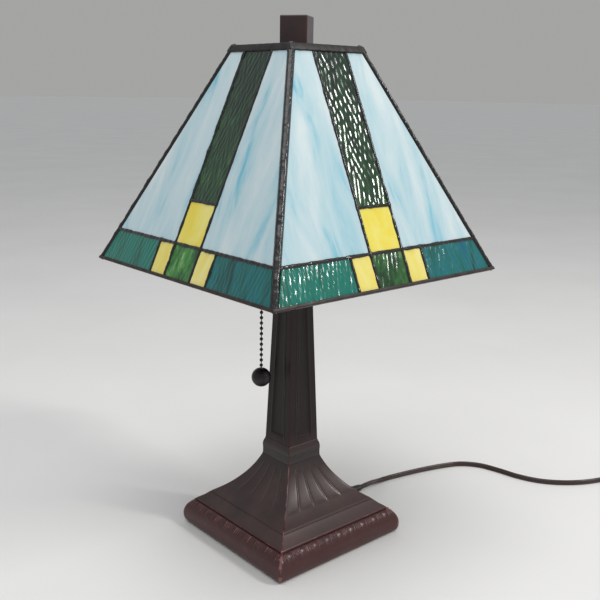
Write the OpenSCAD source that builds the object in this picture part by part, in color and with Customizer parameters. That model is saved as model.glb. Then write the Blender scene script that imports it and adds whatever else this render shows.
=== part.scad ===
// Table lamp with a leaded glass pyramid shade on a square cast column.
// Millimetres, +Z up. The origin is on the table at the lamp's own axis.
// The front panel faces -Y, and the pull chain hangs on the -X side.

/* [Shade] */
// Width of the shade across its bottom edge
shade_w = 259; // [220:1:320]
// Width of the shade across its top edge
shade_top_w = 81.4; // [70:0.1:100]
// Height of the shade, straight up
shade_h = 192; // [150:1:235]
// Thickness of the glass
glass_t = 3; // [2:0.1:4]
// Width of the lead between two pieces of glass
came_w = 3.2; // [2.4:0.1:5]
// Thickness of the lead flange on each side of the glass
came_flange = 1; // [0.6:0.1:1.5]
// Diameter of the soldered seam along each corner
seam_d = 5.8; // [5:0.1:8]
// Depth of the channel along the bottom edge
bottom_rim_h = 3; // [2.6:0.1:8]
// Depth of the channel along the top edge
top_rim_h = 6.5; // [4:0.1:9]
// Height of the lower band of small panes, up the slope
band_h = 31.5; // [25:0.5:45]
// Height of the yellow block above the lower band, up the slope
block_h = 38.5; // [25:0.5:50]
// Width of the centre strip, between lead lines
strip_w = 37; // [25:0.5:50]
// Width of each small pane beside the centre strip
pane_w = 22.5; // [15:0.5:30]
// Thickness of the pressed metal cap at the top of the shade
cap_t = 1.5; // [1:0.1:2.5]

/* [Finial] */
// Width of the square finial
finial_w = 24.7; // [18:0.1:30]
// Height of the finial
finial_h = 24.6; // [18:0.1:35]
// Turn of the finial against the shade, in degrees
finial_turn = 34.6; // [0:0.1:45]
// Width of the small flat on the finial's edges
finial_bevel = 1.2; // [0.4:0.1:2.5]

/* [Base] */
// Width of the base at its widest
base_w = 152.4; // [130:0.1:200]
// Height of the bull-nose rim
rim_h = 24.6; // [18:0.1:32]
// Width of the sloped plate between the rim and the skirt
plate_w = 12.4; // [8:0.1:18]
// Width of the flared skirt at its foot
skirt_w = 110.4; // [90:0.1:120]
// Height of the top of the skirt above the table
skirt_top_z = 77; // [60:0.5:95]
// Wall of the base casting
base_wall = 3; // [2:0.1:4]
// Thickness of the felt under the base
felt_t = 1.6; // [1:0.1:3]
// Thickness of the steel bottom plate
bottom_plate_t = 1.6; // [1:0.1:3]
// Width of the cast iron weight
weight_w = 90; // [80:1:112]
// Height of the cast iron weight
weight_h = 24; // [20:0.5:28]

/* [Column] */
// Width of the column at its foot
column_w = 35.8; // [30:0.1:45]
// Width of the column at its top
column_top_w = 22.4; // [20:0.1:30]
// Height of the column
column_h = 193.5; // [150:0.5:235]
// Height of the collar between the column and the base
collar_h = 17.5; // [12:0.5:24]
// Width of the flat border beside each face's channel
border_w = 8.3; // [5:0.1:9]
// Depth of the channel in each face
channel_depth = 1.2; // [0.5:0.1:1.6]
// Wall of the column
column_wall = 2.6; // [2.2:0.1:3.5]

/* [Socket and harp] */
// Outer diameter of the threaded rod
rod_d = 10; // [9:0.1:12]
// Bore of the threaded rod
rod_bore = 7; // [6:0.1:8]
// Height of the harp from its saddle to the seat of the shade
harp_h = 160; // [155:0.1:195]
// Distance between the two legs of the harp
harp_leg_w = 44; // [42:0.5:60]
// Diameter of the harp's wire
harp_wire = 4; // [3:0.1:5]
// Diameter of the harp's threaded stud
stud_d = 6.35; // [6:0.05:8]
// Outer diameter of the lamp holder's shell
shell_d = 33.2; // [32.6:0.1:36]
// Height of the lamp holder's shell
shell_h = 55; // [50:0.5:62]
// Diameter of the bulb's screw base
screw_d = 26.4; // [26:0.1:27]
// Diameter of the bulb
bulb_d = 58; // [45:1:62]

/* [Pull chain] */
// Distance of the chain from the lamp's axis
chain_reach = 37.6; // [34:0.1:48]
// Diameter of one bead
bead_d = 3.24; // [2.4:0.02:4.5]
// Distance from bead to bead
bead_pitch = 5; // [4:0.05:6]
// Number of beads that hang below the outlet
bead_count = 27; // [10:1:32]
// Diameter of the ball at the end of the chain
ball_d = 17.8; // [12:0.1:20]

/* [Cord] */
// Width of the cord
cord_d = 5.6; // [5:0.1:7]
// Length of the tapered strain relief outside the base
relief_length = 21; // [20:1:40]
// Length of the plug's body
plug_length = 28; // [24:1:36]

/* [Hidden] */
fit = 0.05; // gap left between pieces that are fixed to each other
running = 0.06; // radial clearance of what turns or slides
through = 1; // how far a cut runs past the surface it opens
$fn = 64;
sides = ["front", "right", "back", "left"];
glass_kinds = ["blue", "green", "yellow", "teal"];

// Heights, from the table up
casting_z = felt_t / 2;
weight_z = felt_t + bottom_plate_t;
collar_z = skirt_top_z;
column_z = collar_z + collar_h;
column_cap_z = column_z + column_h;
column_cap_h = 5;
nut_h = 3.5;
upper_nut_z = column_cap_z + column_cap_h;
saddle_z = upper_nut_z + nut_h;
saddle_t = 2.2;
holder_z = saddle_z + saddle_t;
seat_z = saddle_z + harp_h;
shade_top_z = seat_z + cap_t;
shade_bottom_z = shade_top_z - shade_h;
finial_bore_h = finial_h * 0.75;
washer_t = 2;
nut_pocket_h = weight_h - 4;
washer_z = weight_z + nut_pocket_h - washer_t;
lower_nut_z = washer_z - nut_h;
rod_bottom_z = lower_nut_z - 2;
rod_top_z = holder_z + 7;
exit_z = 11;

// The lamp holder and bulb
holder_cap_h = 13;
holder_wall = 0.9;
shell_z = holder_z + 4.5;
shell_wall = 0.8;
liner_t = 0.7;
screw_shell_t = 0.6;
screw_shell_h = 25;
switch_h = 24;
screw_shell_z = shell_z + shell_h - screw_shell_h - 3;
switch_z = screw_shell_z - switch_h;
contact_h = 2.6;
bulb_tip_z = screw_shell_z + contact_h + 0.3;
bulb_base_h = 27;
bulb_glass_z = bulb_tip_z + bulb_base_h;
bulb_neck_h = 18;
bulb_centre_z = bulb_glass_z + bulb_neck_h + bulb_d / 2;
bulb_wall = 0.8;

// The chain's outlet
outlet_z = shell_z + 15;
outlet_d = 7.6;
outlet_bore = bead_d + 1.4;
outlet_drop = 8;
top_bead_z = outlet_z - outlet_drop;
chain_drop = bead_pitch * (bead_count + 0.5);
ball_z = top_bead_z - chain_drop - ball_d / 2;

// The shade's panels, in the plane of one panel
shade_run = (shade_w - shade_top_w) / 2;
slope = atan2(shade_h, shade_run);
panel_h = norm([shade_h, shade_run]);
panel_taper = shade_run / panel_h;
panel_t = glass_t + 2 * came_flange;
corner_half_angle = acos(-cos(slope) * cos(slope)) / 2;
seam_inset = panel_t / 2 / tan(corner_half_angle) + seam_d / 2 + fit * 2;
rim_extra = 0.4;
top_lip = 3; // how far the glass stands in the top channel
bottom_lip = 1.8; // how far the glass stands in the bottom channel
came_web = 1;
strip_top = panel_h - top_rim_h;
block_top = band_h + block_h;

// The base
base_half = base_w / 2;
rim_undercut = 0.9; // how far the rim draws in at its foot
rim_shoulder = 9.2; // how far the flat edge of the plate lies inside the rim
rim_bulge = 3.2; // how far the bull-nose bows out
plate_edge_h = 1; // the upright edge between the rim and the plate
plate_rise = 0.68; // rise of the plate for each millimetre of its width
skirt_step_h = 1.4; // the small step at the foot of the skirt
skirt_hollow = 4.4; // how far the skirt's flare bows in
plate_edge_x = base_half - rim_shoulder;
step_z = rim_h + plate_edge_h + plate_w * plate_rise;
top_wall = base_wall * 0.8; // wall of the casting where it faces up
floor_hw = base_half - rim_undercut - base_wall;
collar_overhang = 2.1; // how far the collar stands out past the column
collar_hw = column_w / 2 + collar_overhang;
nut_pocket_d = 34;
wire_slot_w = 9;
wire_r = 2.2;

// The strain relief, a plug pushed through the casting's wall with a flange on each side
relief_neck_d = 9;
relief_flange_t = 2;
relief_outer_d = 14;
relief_inner_d = 11;
relief_inner_x = base_half - 2 * base_wall - 0.4;
relief_outer_x = base_half + 0.4;

// The cord's route along the table, from the strain relief to the coil
cord_run_points = [
    [base_half + relief_length + 0.1, 0, exit_z], [106, 0.6, 10.8], [119, 4, 8.4], [133, 8, 4.6],
    [149, 9, 2.8], [170, 5, 2.8], [196, -1, 2.8], [222, -9, 2.8], [243, -19, 2.8], [257, -36, 2.8],
    [263, -58, 2.8], [267, -81, 2.8], [276, -103, 2.8], [291, -121, 2.8], [310, -135, 2.8],
    [332, -145, 2.8], [356, -152, 2.8], [382, -156, 2.8]
];
coil_centre = [382, -195];
coil_mid_r = 33.6;
coil_columns = 3;
coil_layers = 2;
tail_points = [[421, -195, 8.4], [421, -207, 8.2], [421, -222, 7], [421, -240, 6.5]];
plug_t = 13;
plug_w = 22;

bronze = [0.13, 0.075, 0.065];
brass = [0.72, 0.56, 0.28];
steel = [0.62, 0.62, 0.6];
solder = [0.07, 0.065, 0.06];
cord_brown = [0.13, 0.09, 0.075];

// ---- Shapes shared by several pieces ----

// Points of a shallow curve from p to q that bows by rise to the right of the way from p to q
function bow(p, q, rise, count) = let (d = q - p, side = [d.y, -d.x] / norm(d))
    [for (i = [0:count]) let (t = i / count) p + d * t + side * rise * 4 * t * (1 - t)];

// Both halves of an outline whose right half is given as [half width, height] points
function both_halves(half) = concat(half, [for (i = [len(half) - 1:-1:0]) [-half[i].x, half[i].y]]);

// A body that is square in plan, with mitred corners, from its right-hand outline
module square_body(half) {
    reach = 4 * max([for (p = half) p.x]);
    intersection() {
        rotate([90, 0, 0]) linear_extrude(reach, center = true) polygon(both_halves(half));
        rotate([90, 0, 90]) linear_extrude(reach, center = true) polygon(both_halves(half));
    }
}

// A tube of the given radius along points, with its rings turned about the reference direction
function unit(v) = v / norm(v);
function heading(p, i) = unit(p[min(i + 1, len(p) - 1)] - p[max(i - 1, 0)]);
module swept_tube(points, r, reference, around = 8) {
    rings = [for (i = [0:len(points) - 1])
        let (t = heading(points, i), n = unit(cross(reference, t)), b = cross(t, n))
        for (k = [0:around - 1]) points[i] + r * (cos(360 * k / around) * n + sin(360 * k / around) * b)];
    last = (len(points) - 1) * around;
    walls = [for (i = [0:len(points) - 2], k = [0:around - 1]) let (m = (k + 1) % around)
        [i * around + k, (i + 1) * around + k, (i + 1) * around + m, i * around + m]];
    ends = [[for (k = [0:around - 1]) k], [for (k = [around - 1:-1:0]) last + k]];
    polyhedron(rings, concat(walls, ends));
}

// Points of a smooth curve through the given points, with the given number of steps per span
function curve_point(a, b, c, d, t) =
    0.5 * (2 * b + (c - a) * t + (2 * a - 5 * b + 4 * c - d) * t * t + (3 * b - a - 3 * c + d) * t * t * t);
function smooth(p, steps) = let (n = len(p) - 1) concat(
    [for (i = [0:n - 1], k = [0:steps - 1])
        curve_point(p[max(i - 1, 0)], p[i], p[i + 1], p[min(i + 2, n)], k / steps)], [p[n]]);

// A hollow turned piece standing on the axis
module ring(r_out, r_in, h) {
    difference() {
        cylinder(r = r_out, h = h);
        translate([0, 0, -through]) cylinder(r = r_in, h = h + 2 * through);
    }
}

// A square slab on the axis
module slab(w, h) {
    translate([-w / 2, -w / 2, 0]) cube([w, w, h]);
}

// ---- Base ----

// Right-hand outline of the casting: rim, sloped plate, step and flared skirt
function rim_outline() = concat(
    [[base_half - rim_undercut, casting_z], [base_half, casting_z + 4]],
    bow([base_half, casting_z + 5], [plate_edge_x + 0.4, rim_h], rim_bulge, 10));
function skirt_outline() = concat(
    [[plate_edge_x, rim_h], [plate_edge_x, rim_h + plate_edge_h], [plate_edge_x - plate_w, step_z]],
    bow([skirt_w / 2, step_z + skirt_step_h], [collar_hw, skirt_top_z], -skirt_hollow, 12));
function casting_outline() = concat(rim_outline(), skirt_outline());

module base_casting() {
    outline = casting_outline();
    hollow = concat([[outline[0].x - base_wall, casting_z - through]],
        [for (p = outline) [p.x - base_wall, p.y - top_wall]]);
    color(bronze) difference() {
        square_body(concat([[0, casting_z]], outline, [[0, skirt_top_z]]));
        square_body(concat([[0, casting_z - through]], hollow, [[0, skirt_top_z - top_wall]]));
        translate([0, 0, skirt_top_z - 3 * base_wall]) cylinder(d = rod_d + 4 * fit, h = 6 * base_wall);
        translate([base_half - 3 * base_wall, 0, exit_z]) rotate([0, 90, 0])
            cylinder(d = relief_neck_d + 2 * fit, h = 6 * base_wall);
    }
}

module felt_pad() {
    color("black") slab(2 * floor_hw - 1, felt_t);
}

module bottom_plate() {
    color(steel) translate([0, 0, felt_t]) slab(2 * floor_hw - 8 * fit, bottom_plate_t);
}

module base_weight() {
    color("dimgray") difference() {
        translate([0, 0, weight_z + fit]) slab(weight_w, weight_h - 2 * fit);
        cylinder(d = rod_d + 4 * fit, h = weight_z + weight_h + through);
        cylinder(d = nut_pocket_d, h = weight_z + nut_pocket_h);
        translate([0, -wire_slot_w / 2, 0]) cube([weight_w, wire_slot_w, exit_z + 3.4]);
    }
}

module weight_spacer() {
    z = weight_z + weight_h;
    wall = 3;
    h = skirt_top_z - top_wall - z - fit;
    color(steel) translate([0, 0, z]) ring(rod_d / 2 + wall, rod_d / 2 + fit, h);
}

module strain_relief() {
    taper_h = base_half + relief_length - relief_outer_x;
    color("black") translate([0, 0, exit_z]) rotate([0, 90, 0]) {
        translate([0, 0, relief_inner_x - relief_flange_t]) cylinder(d = relief_inner_d, h = relief_flange_t);
        translate([0, 0, relief_inner_x]) cylinder(d = relief_neck_d, h = relief_outer_x - relief_inner_x);
        translate([0, 0, relief_outer_x]) cylinder(d = relief_outer_d, h = relief_flange_t);
        translate([0, 0, relief_outer_x]) cylinder(d1 = relief_neck_d + 1, d2 = cord_d + 1, h = taper_h);
    }
}

// The wire runs from the strain relief along the slot in the weight and up the rod
module supply_wire() {
    start_x = relief_inner_x - relief_flange_t;
    floor_z = weight_z + wire_r + 1;
    way = concat(
        smooth([[start_x - 0.2, 0, exit_z], [start_x - 5, 0, exit_z], [start_x - 26, 0, floor_z],
            [16, 0, floor_z], [8, 0, floor_z + 0.6], [2.4, 0, floor_z + 4.2], [0, 0, floor_z + 10]], 5),
        [[0, 0, rod_bottom_z + 12], [0, 0, switch_z - fit]]);
    color("black") swept_tube(way, wire_r, [0, 1, 0]);
}

// ---- Column ----

// The collar is a slight hollow under a rounded bead
module column_collar() {
    bead_low = collar_z + collar_h * 0.42;
    bead_high = column_z - 2.6;
    outline = concat(
        bow([collar_hw - 0.2, collar_z], [collar_hw - 0.6, bead_low], -0.3, 6),
        bow([collar_hw - 0.5, bead_low], [collar_hw - 1, bead_high], 1, 6),
        [[column_w / 2 + 0.3, column_z]]);
    color(bronze) difference() {
        square_body(concat([[0, collar_z]], outline, [[0, column_z]]));
        translate([0, 0, collar_z - through]) slab(column_w - 2 * column_wall, collar_h + 2 * through);
    }
}

channel_end = 6; // plain border above and below a channel
// One tapered recess, in the plane of a column face
module face_channel() {
    lean = atan2((column_w - column_top_w) / 2, column_h);
    foot = column_w / 2 - border_w;
    head = max(column_top_w / 2 - border_w, 1);
    low = channel_end;
    high = column_h - channel_end;
    translate([0, -column_w / 2, column_z]) rotate([90 - lean, 0, 0])
        translate([0, 0, -channel_depth]) linear_extrude(2 * channel_depth)
            polygon([[-foot, low], [foot, low], [head, high], [-head, high]]);
}

module column() {
    color(bronze) difference() {
        square_body([[column_w / 2, column_z], [column_top_w / 2, column_cap_z]]);
        square_body([[column_w / 2 - column_wall, column_z - through],
            [column_top_w / 2 - column_wall, column_cap_z + through]]);
        for (k = [0:3]) rotate([0, 0, 90 * k]) face_channel();
    }
}

module column_cap() {
    hw = column_top_w / 2 + 2.6;
    outline = [[hw - 0.8, 0], [hw, 0.8], [hw, column_cap_h - 1.6], [hw - 2.4, column_cap_h]];
    color(bronze) translate([0, 0, column_cap_z]) difference() {
        square_body(outline);
        translate([0, 0, -through]) cylinder(d = rod_d + 4 * fit, h = column_cap_h + 2 * through);
    }
}

module threaded_rod() {
    color(steel) translate([0, 0, rod_bottom_z]) ring(rod_d / 2, rod_bore / 2, rod_top_z - rod_bottom_z);
}

module rod_nuts() {
    color(brass) for (z = [lower_nut_z, upper_nut_z]) translate([0, 0, z + fit / 2]) difference() {
        cylinder(d = rod_d * 1.8, h = nut_h - fit, $fn = 6);
        translate([0, 0, -through]) cylinder(d = rod_d + 2 * fit, h = nut_h + 2 * through);
    }
}

module rod_washer() {
    color(steel) translate([0, 0, washer_z + fit / 2])
        ring(nut_pocket_d / 2 - 3, rod_d / 2 + fit, washer_t - fit);
}

// ---- Lamp holder ----

post_top_z = saddle_z + 12;
saddle_w = 14;
module harp_saddle() {
    color(brass) {
        difference() {
            translate([0, 0, saddle_z + saddle_t / 2 + fit / 2])
                cube([saddle_w, harp_leg_w + harp_wire, saddle_t - fit], center = true);
            translate([0, 0, saddle_z - through]) cylinder(d = rod_d + 4 * fit, h = saddle_t + 2 * through);
        }
        for (side = [-1, 1]) translate([0, side * harp_leg_w / 2, saddle_z + saddle_t / 2])
            cylinder(d = harp_wire, h = post_top_z - saddle_z - saddle_t / 2);
    }
}

module holder_cap() {
    r = shell_d / 2 + 1;
    inner = r - holder_wall;
    bore = rod_d / 2 + fit;
    color(brass) translate([0, 0, holder_z + fit]) rotate_extrude() polygon([
        [bore, 0], [bore + 3, 0], [r - 4, 1.2], [r - 1, 4], [r, 7], [r, holder_cap_h],
        [inner, holder_cap_h], [inner, 7], [inner - 1, 4.6], [r - 4.4, 2.2], [bore, 2.2]]);
}

module holder_shell() {
    r = shell_d / 2;
    color(brass) translate([0, 0, shell_z]) difference() {
        rotate_extrude() polygon([
            [r - shell_wall, 3.2], [r, 3.2], [r, shell_h - 8], [r + 0.6, shell_h - 7], [r, shell_h - 6],
            [r, shell_h], [r - shell_wall, shell_h]]);
        translate([0, 0, outlet_z - shell_z]) outlet_hole(r);
    }
}

// The hole through which the chain's outlet leaves, cut from the axis out past radius r
module outlet_hole(r) {
    rotate([0, -90, 0]) cylinder(d = outlet_d + 2 * fit, h = r + through);
}

module holder_liner() {
    r = shell_d / 2 - shell_wall - fit;
    color([0.25, 0.2, 0.15]) translate([0, 0, shell_z + 3]) difference() {
        ring(r, r - liner_t, shell_h - 4);
        translate([0, 0, outlet_z - shell_z - 3]) outlet_hole(r);
    }
}

module switch_body() {
    r = shell_d / 2 - shell_wall - liner_t - 3 * fit;
    color([0.1, 0.1, 0.1]) difference() {
        translate([0, 0, switch_z]) cylinder(r = r, h = switch_h);
        translate([0, 0, outlet_z]) outlet_hole(r);
    }
}

module screw_shell() {
    r = screw_d / 2 + running;
    color(brass) translate([0, 0, screw_shell_z]) ring(r + screw_shell_t, r, screw_shell_h);
}

module centre_contact() {
    color(brass) translate([0, 0, screw_shell_z]) cylinder(d = 8, h = contact_h);
}

// An elbow: a level tube from the switch, then a bell mouth that points down
module chain_outlet() {
    inner = 2;
    bore_start = 4;
    color(brass) translate([0, 0, outlet_z]) difference() {
        union() {
            translate([-inner, 0, 0]) rotate([0, -90, 0]) cylinder(d = outlet_d, h = chain_reach - inner);
            translate([-chain_reach, 0, 0]) {
                sphere(d = outlet_d);
                translate([0, 0, -outlet_drop]) cylinder(d = outlet_d, h = outlet_drop);
                translate([0, 0, -outlet_drop]) cylinder(d1 = outlet_d + 2, d2 = outlet_d, h = 2);
            }
        }
        translate([-bore_start, 0, 0]) rotate([0, -90, 0])
            cylinder(d = outlet_bore, h = chain_reach - bore_start);
        translate([-chain_reach, 0, -outlet_drop - through])
            cylinder(d = outlet_bore, h = outlet_drop + through);
    }
}

link_d = 0.9;
module pull_link() {
    color(bronze) translate([-chain_reach, 0, top_bead_z]) {
        sphere(d = bead_d);
        cylinder(d = link_d, h = outlet_drop);
    }
}

module pull_chain() {
    gap = bead_d / 2 + 0.35;
    color(bronze) translate([-chain_reach, 0, top_bead_z]) {
        for (i = [1:bead_count]) translate([0, 0, -i * bead_pitch]) sphere(d = bead_d);
        translate([0, 0, -chain_drop]) cylinder(d = link_d, h = chain_drop - gap);
    }
}

module pull_ball() {
    color(bronze) translate([-chain_reach, 0, ball_z]) difference() {
        sphere(d = ball_d);
        translate([0, 0, ball_d / 2 - 0.3]) cylinder(d = ball_d, h = 1);
    }
}

module bulb_base() {
    r = screw_d / 2;
    color(steel) translate([0, 0, bulb_tip_z]) rotate_extrude() polygon([
        [0, 0], [3.4, 0], [4.6, 1], [5, 2], [9, 4], [r - 1.2, 5], [r, 6],
        [r, bulb_base_h], [0, bulb_base_h]]);
}

module bulb_glass() {
    r = bulb_d / 2;
    neck = screw_d / 2 - 1.4;
    color([0.95, 0.94, 0.9]) translate([0, 0, bulb_glass_z]) rotate_extrude() bulb_outline(neck, r);
}

// The bulb's wall: a neck that flares into a ball
module bulb_outline(neck, r) {
    centre = bulb_centre_z - bulb_glass_z;
    start = -52;
    meet = [r * cos(start), centre + r * sin(start)];
    outer = concat([[neck, fit]], bow([neck, 3], meet, -1.6, 8),
        [for (a = [start + 6:6:90]) [r * cos(a), centre + r * sin(a)]]);
    polygon(concat(outer, [for (i = [len(outer) - 1:-1:0])
        [max(outer[i].x - bulb_wall, 0), min(outer[i].y, centre + r - bulb_wall)]]));
}

// ---- Harp ----

// Points of a bent wire in a plane, from point p heading a degrees from upright; each step is
// [straight length, bend radius, bend angle]
function wire_points(steps, p, a, i = 0) = i == len(steps) ? [p] :
    let (turn = steps[i][2], way = sign(turn), r = steps[i][1], count = ceil(abs(turn) / 8),
        q = p + steps[i][0] * [sin(a), cos(a)], c = q + way * r * [cos(a), -sin(a)])
    concat([p],
        [for (k = [0:1:count - 1]) let (b = a + turn * k / count) c - way * r * [cos(b), -sin(b)]],
        wire_points(steps, c - way * r * [cos(a + turn), -sin(a + turn)], a + turn, i + 1));

harp_shoulder_h = 6;
harp_top_z = seat_z - harp_shoulder_h + harp_wire / 2;
hub_d = 16;
hub_h = harp_wire + 0.8;
hub_z = harp_top_z - hub_h / 2;
out_turn = 28;
in_turn = 20;
foot_r = 30;
waist_r = 60;
crown_r = 22;
flare_length = 22;
// Heights that the bends take up; the legs and the upper straights share what is left
bends_h = foot_r * sin(out_turn) + flare_length * cos(out_turn)
    + waist_r * (sin(out_turn) + sin(in_turn)) + crown_r * (1 - sin(in_turn));
leg_length = 26;
upper_length = (harp_top_z - post_top_z - leg_length - bends_h) / cos(in_turn);
crown_y = harp_leg_w / 2 + foot_r * (1 - cos(out_turn)) + flare_length * sin(out_turn)
    + waist_r * (cos(in_turn) - cos(out_turn)) - upper_length * sin(in_turn) - crown_r * cos(in_turn);
module harp() {
    half = wire_points([[leg_length, foot_r, out_turn], [flare_length, waist_r, -out_turn - in_turn],
        [upper_length, crown_r, in_turn - 90]], [harp_leg_w / 2, post_top_z + fit], 0);
    whole = concat([for (p = half) [0, p.x, p.y]],
        [for (i = [len(half) - 1:-1:0]) [0, -half[i].x, half[i].y]]);
    color(brass) difference() {
        union() {
            swept_tube(whole, harp_wire / 2, [1, 0, 0], 12);
            translate([0, 0, hub_z]) cylinder(d = hub_d, h = hub_h);
        }
        translate([0, 0, hub_z - through]) cylinder(d = stud_d, h = hub_h + 2 * through);
    }
}

// The stud is riveted in the harp's hub; the shade sits on its shoulder
module harp_stud() {
    shoulder_z = hub_z + hub_h + fit;
    color(brass) {
        translate([0, 0, shoulder_z]) cylinder(d = hub_d - 2, h = seat_z - fit - shoulder_z);
        translate([0, 0, seat_z - 2 * fit]) cylinder(d = stud_d, h = finial_bore_h + cap_t);
        translate([0, 0, hub_z]) cylinder(d = stud_d - 4 * fit, h = hub_h + 2 * fit);
    }
}

// A sleeve slides down over the joint between the harp's leg and the saddle's post
sleeve_h = 16;
module sleeve(side) {
    bore = harp_wire / 2 + running;
    color(brass) translate([0, side * harp_leg_w / 2, saddle_z + saddle_t + 0.3])
        rotate_extrude() polygon([
            [bore, 0], [bore + 1.54, 0], [bore + 1.04, sleeve_h - 2],
            [bore + 0.64, sleeve_h], [bore, sleeve_h]]);
}

// ---- Shade ----

// Puts a panel drawn flat (x across, y up the slope, z outwards) in its place on one side
module on_side(k) {
    rotate([0, 0, 90 * k]) translate([0, -shade_w / 2, shade_bottom_z]) rotate([slope, 0, 0]) children();
}

// Half width of a panel between its corner seams at height v up the slope
function edge(v) = shade_w / 2 - panel_taper * v - seam_inset / cos(atan(panel_taper));

module panel_area(v0, v1) {
    polygon([[-edge(v0), v0], [edge(v0), v0], [edge(v1), v1], [-edge(v1), v1]]);
}

module line_v(u, v0, v1, w) { translate([u - w / 2, v0]) square([w, v1 - v0]); }
module line_h(v, half, w) { translate([-half, v - w / 2]) square([2 * half, w]); }

// The lead lines of one panel, drawn at the given width
module lead_lines(w, v0, v1) {
    intersection() {
        panel_area(v0, v1);
        union() {
            for (side = [-1, 1]) {
                line_v(side * strip_w / 2, v0, v1, w);
                line_v(side * (strip_w / 2 + pane_w), v0, band_h, w);
            }
            line_h(band_h, shade_w, w);
            line_h(block_top, strip_w / 2, w);
        }
    }
}

module came(k) {
    low = bottom_rim_h + fit;
    high = strip_top - fit;
    color(solder) on_side(k) {
        translate([0, 0, -came_flange]) linear_extrude(came_flange) lead_lines(came_w, low, high);
        translate([0, 0, -came_flange - glass_t - fit]) linear_extrude(glass_t + 2 * fit)
            lead_lines(came_web, low, high);
        translate([0, 0, -panel_t]) linear_extrude(came_flange) lead_lines(came_w, low, high);
    }
}

// One piece of glass between two lead lines, or between a lead line and the corner seam
module pane(left, right, v0, v1) {
    gap = came_web / 2 + fit;
    translate([0, 0, -came_flange - glass_t + fit]) linear_extrude(glass_t - 2 * fit) intersection() {
        panel_area(bottom_rim_h - bottom_lip, strip_top + top_lip);
        translate([left + gap, v0 + gap]) square([right - left - 2 * gap, v1 - v0 - 2 * gap]);
    }
}

module glass(kind, k) {
    inner = strip_w / 2;
    outer = inner + pane_w;
    wide = shade_w;
    low = 0;
    top = panel_h;
    on_side(k) {
        if (kind == "blue") color([0.66, 0.8, 0.85]) {
            pane(-wide, -inner, band_h, top);
            pane(inner, wide, band_h, top);
        }
        if (kind == "green") color([0.05, 0.2, 0.12]) {
            pane(-inner, inner, block_top, top);
            pane(-inner, inner, low, band_h);
        }
        if (kind == "yellow") color([0.93, 0.84, 0.3]) {
            pane(-inner, inner, band_h, block_top);
            pane(-outer, -inner, low, band_h);
            pane(inner, outer, low, band_h);
        }
        if (kind == "teal") color([0.08, 0.4, 0.4]) {
            pane(-wide, -outer, low, band_h);
            pane(outer, wide, low, band_h);
        }
    }
}

// A channel along one edge of the four panels; the glass stands in its slot
module rim(v0, v1, slot0, slot1) {
    for (k = [0:3]) on_side(k) difference() {
        translate([0, 0, -panel_t - rim_extra]) linear_extrude(panel_t + 2 * rim_extra) panel_area(v0, v1);
        translate([-shade_w, slot0, -came_flange - glass_t - fit])
            cube([2 * shade_w, slot1 - slot0, glass_t + 2 * fit]);
    }
}

module bottom_rim() {
    color([0.22, 0.18, 0.16]) rim(0, bottom_rim_h, bottom_rim_h - bottom_lip - fit, bottom_rim_h + through);
}

module top_rim() {
    color([0.1, 0.1, 0.1]) rim(strip_top, panel_h, strip_top - through, strip_top + top_lip + fit);
}

// The seam's axis runs where the middle planes of two panels meet
module corner_seams() {
    depth = panel_t / 2 / sin(slope);
    foot = shade_w / 2 - depth;
    head = shade_top_w / 2 - depth;
    rise = [foot - head, foot - head, shade_h];
    lean = acos(shade_h / norm(rise));
    extra = 10;
    below = 2.4;
    above = 0.4;
    color(solder) for (k = [0:3]) rotate([0, 0, 90 * k]) intersection() {
        translate([-foot, -foot, shade_bottom_z]) rotate([0, lean, 45]) translate([0, 0, -extra])
            cylinder(d = seam_d, h = norm(rise) + 2 * extra);
        translate([0, 0, shade_bottom_z - below]) slab(2 * shade_w, shade_h + below + above);
    }
}

// The cap is a shallow square roof whose edges lie against the inside of the top rim
module shade_cap() {
    inside = (panel_t + rim_extra) / sin(slope) + fit;
    hub = 15;
    lip = 3;
    edge_z = shade_top_z - 5.5;
    function reach_at(z) = shade_top_w / 2 + (shade_top_z - z) / tan(slope) - inside;
    color([0.1, 0.1, 0.1]) difference() {
        square_body([[0, edge_z], [reach_at(edge_z), edge_z], [reach_at(edge_z + cap_t), edge_z + cap_t],
            [hub, shade_top_z], [0, shade_top_z]]);
        square_body([[0, edge_z - through], [reach_at(edge_z) - lip, edge_z - through],
            [reach_at(edge_z) - lip, edge_z], [hub - 1, seat_z], [0, seat_z]]);
        translate([0, 0, seat_z - through]) cylinder(d = stud_d + 2 * running, h = cap_t + 2 * through);
    }
}

module finial() {
    hw = finial_w / 2;
    b = finial_bevel;
    color(bronze) translate([0, 0, shade_top_z]) rotate([0, 0, finial_turn]) difference() {
        intersection() {
            square_body([[hw - b, fit], [hw, b], [hw, finial_h - b], [hw - b, finial_h]]);
            linear_extrude(finial_h + b) polygon([[hw, hw - b], [hw - b, hw], [b - hw, hw], [-hw, hw - b],
                [-hw, b - hw], [b - hw, -hw], [hw - b, -hw], [hw, b - hw]]);
        }
        translate([0, 0, -through]) cylinder(d = stud_d + 2 * running, h = finial_bore_h + 2 * through);
    }
}

// ---- Cord and plug ----

module cord_run() {
    color(cord_brown) swept_tube(smooth(cord_run_points, 4), cord_d / 2, [0, 0, 1]);
}

// The outer shape of the wound part of the cord
module cord_coil() {
    w = coil_columns * cord_d;
    h = coil_layers * cord_d;
    c = 1.5;
    color(cord_brown) translate(coil_centre) rotate_extrude() translate([coil_mid_r - w / 2, 0]) polygon([
        [c, 0], [w - c, 0], [w, c], [w, h - c], [w - c, h], [c, h], [0, h - c], [0, c]]);
}

module cord_tail() {
    color(cord_brown) swept_tube(smooth(tail_points, 3), cord_d / 2, [0, 0, 1]);
}

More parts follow.
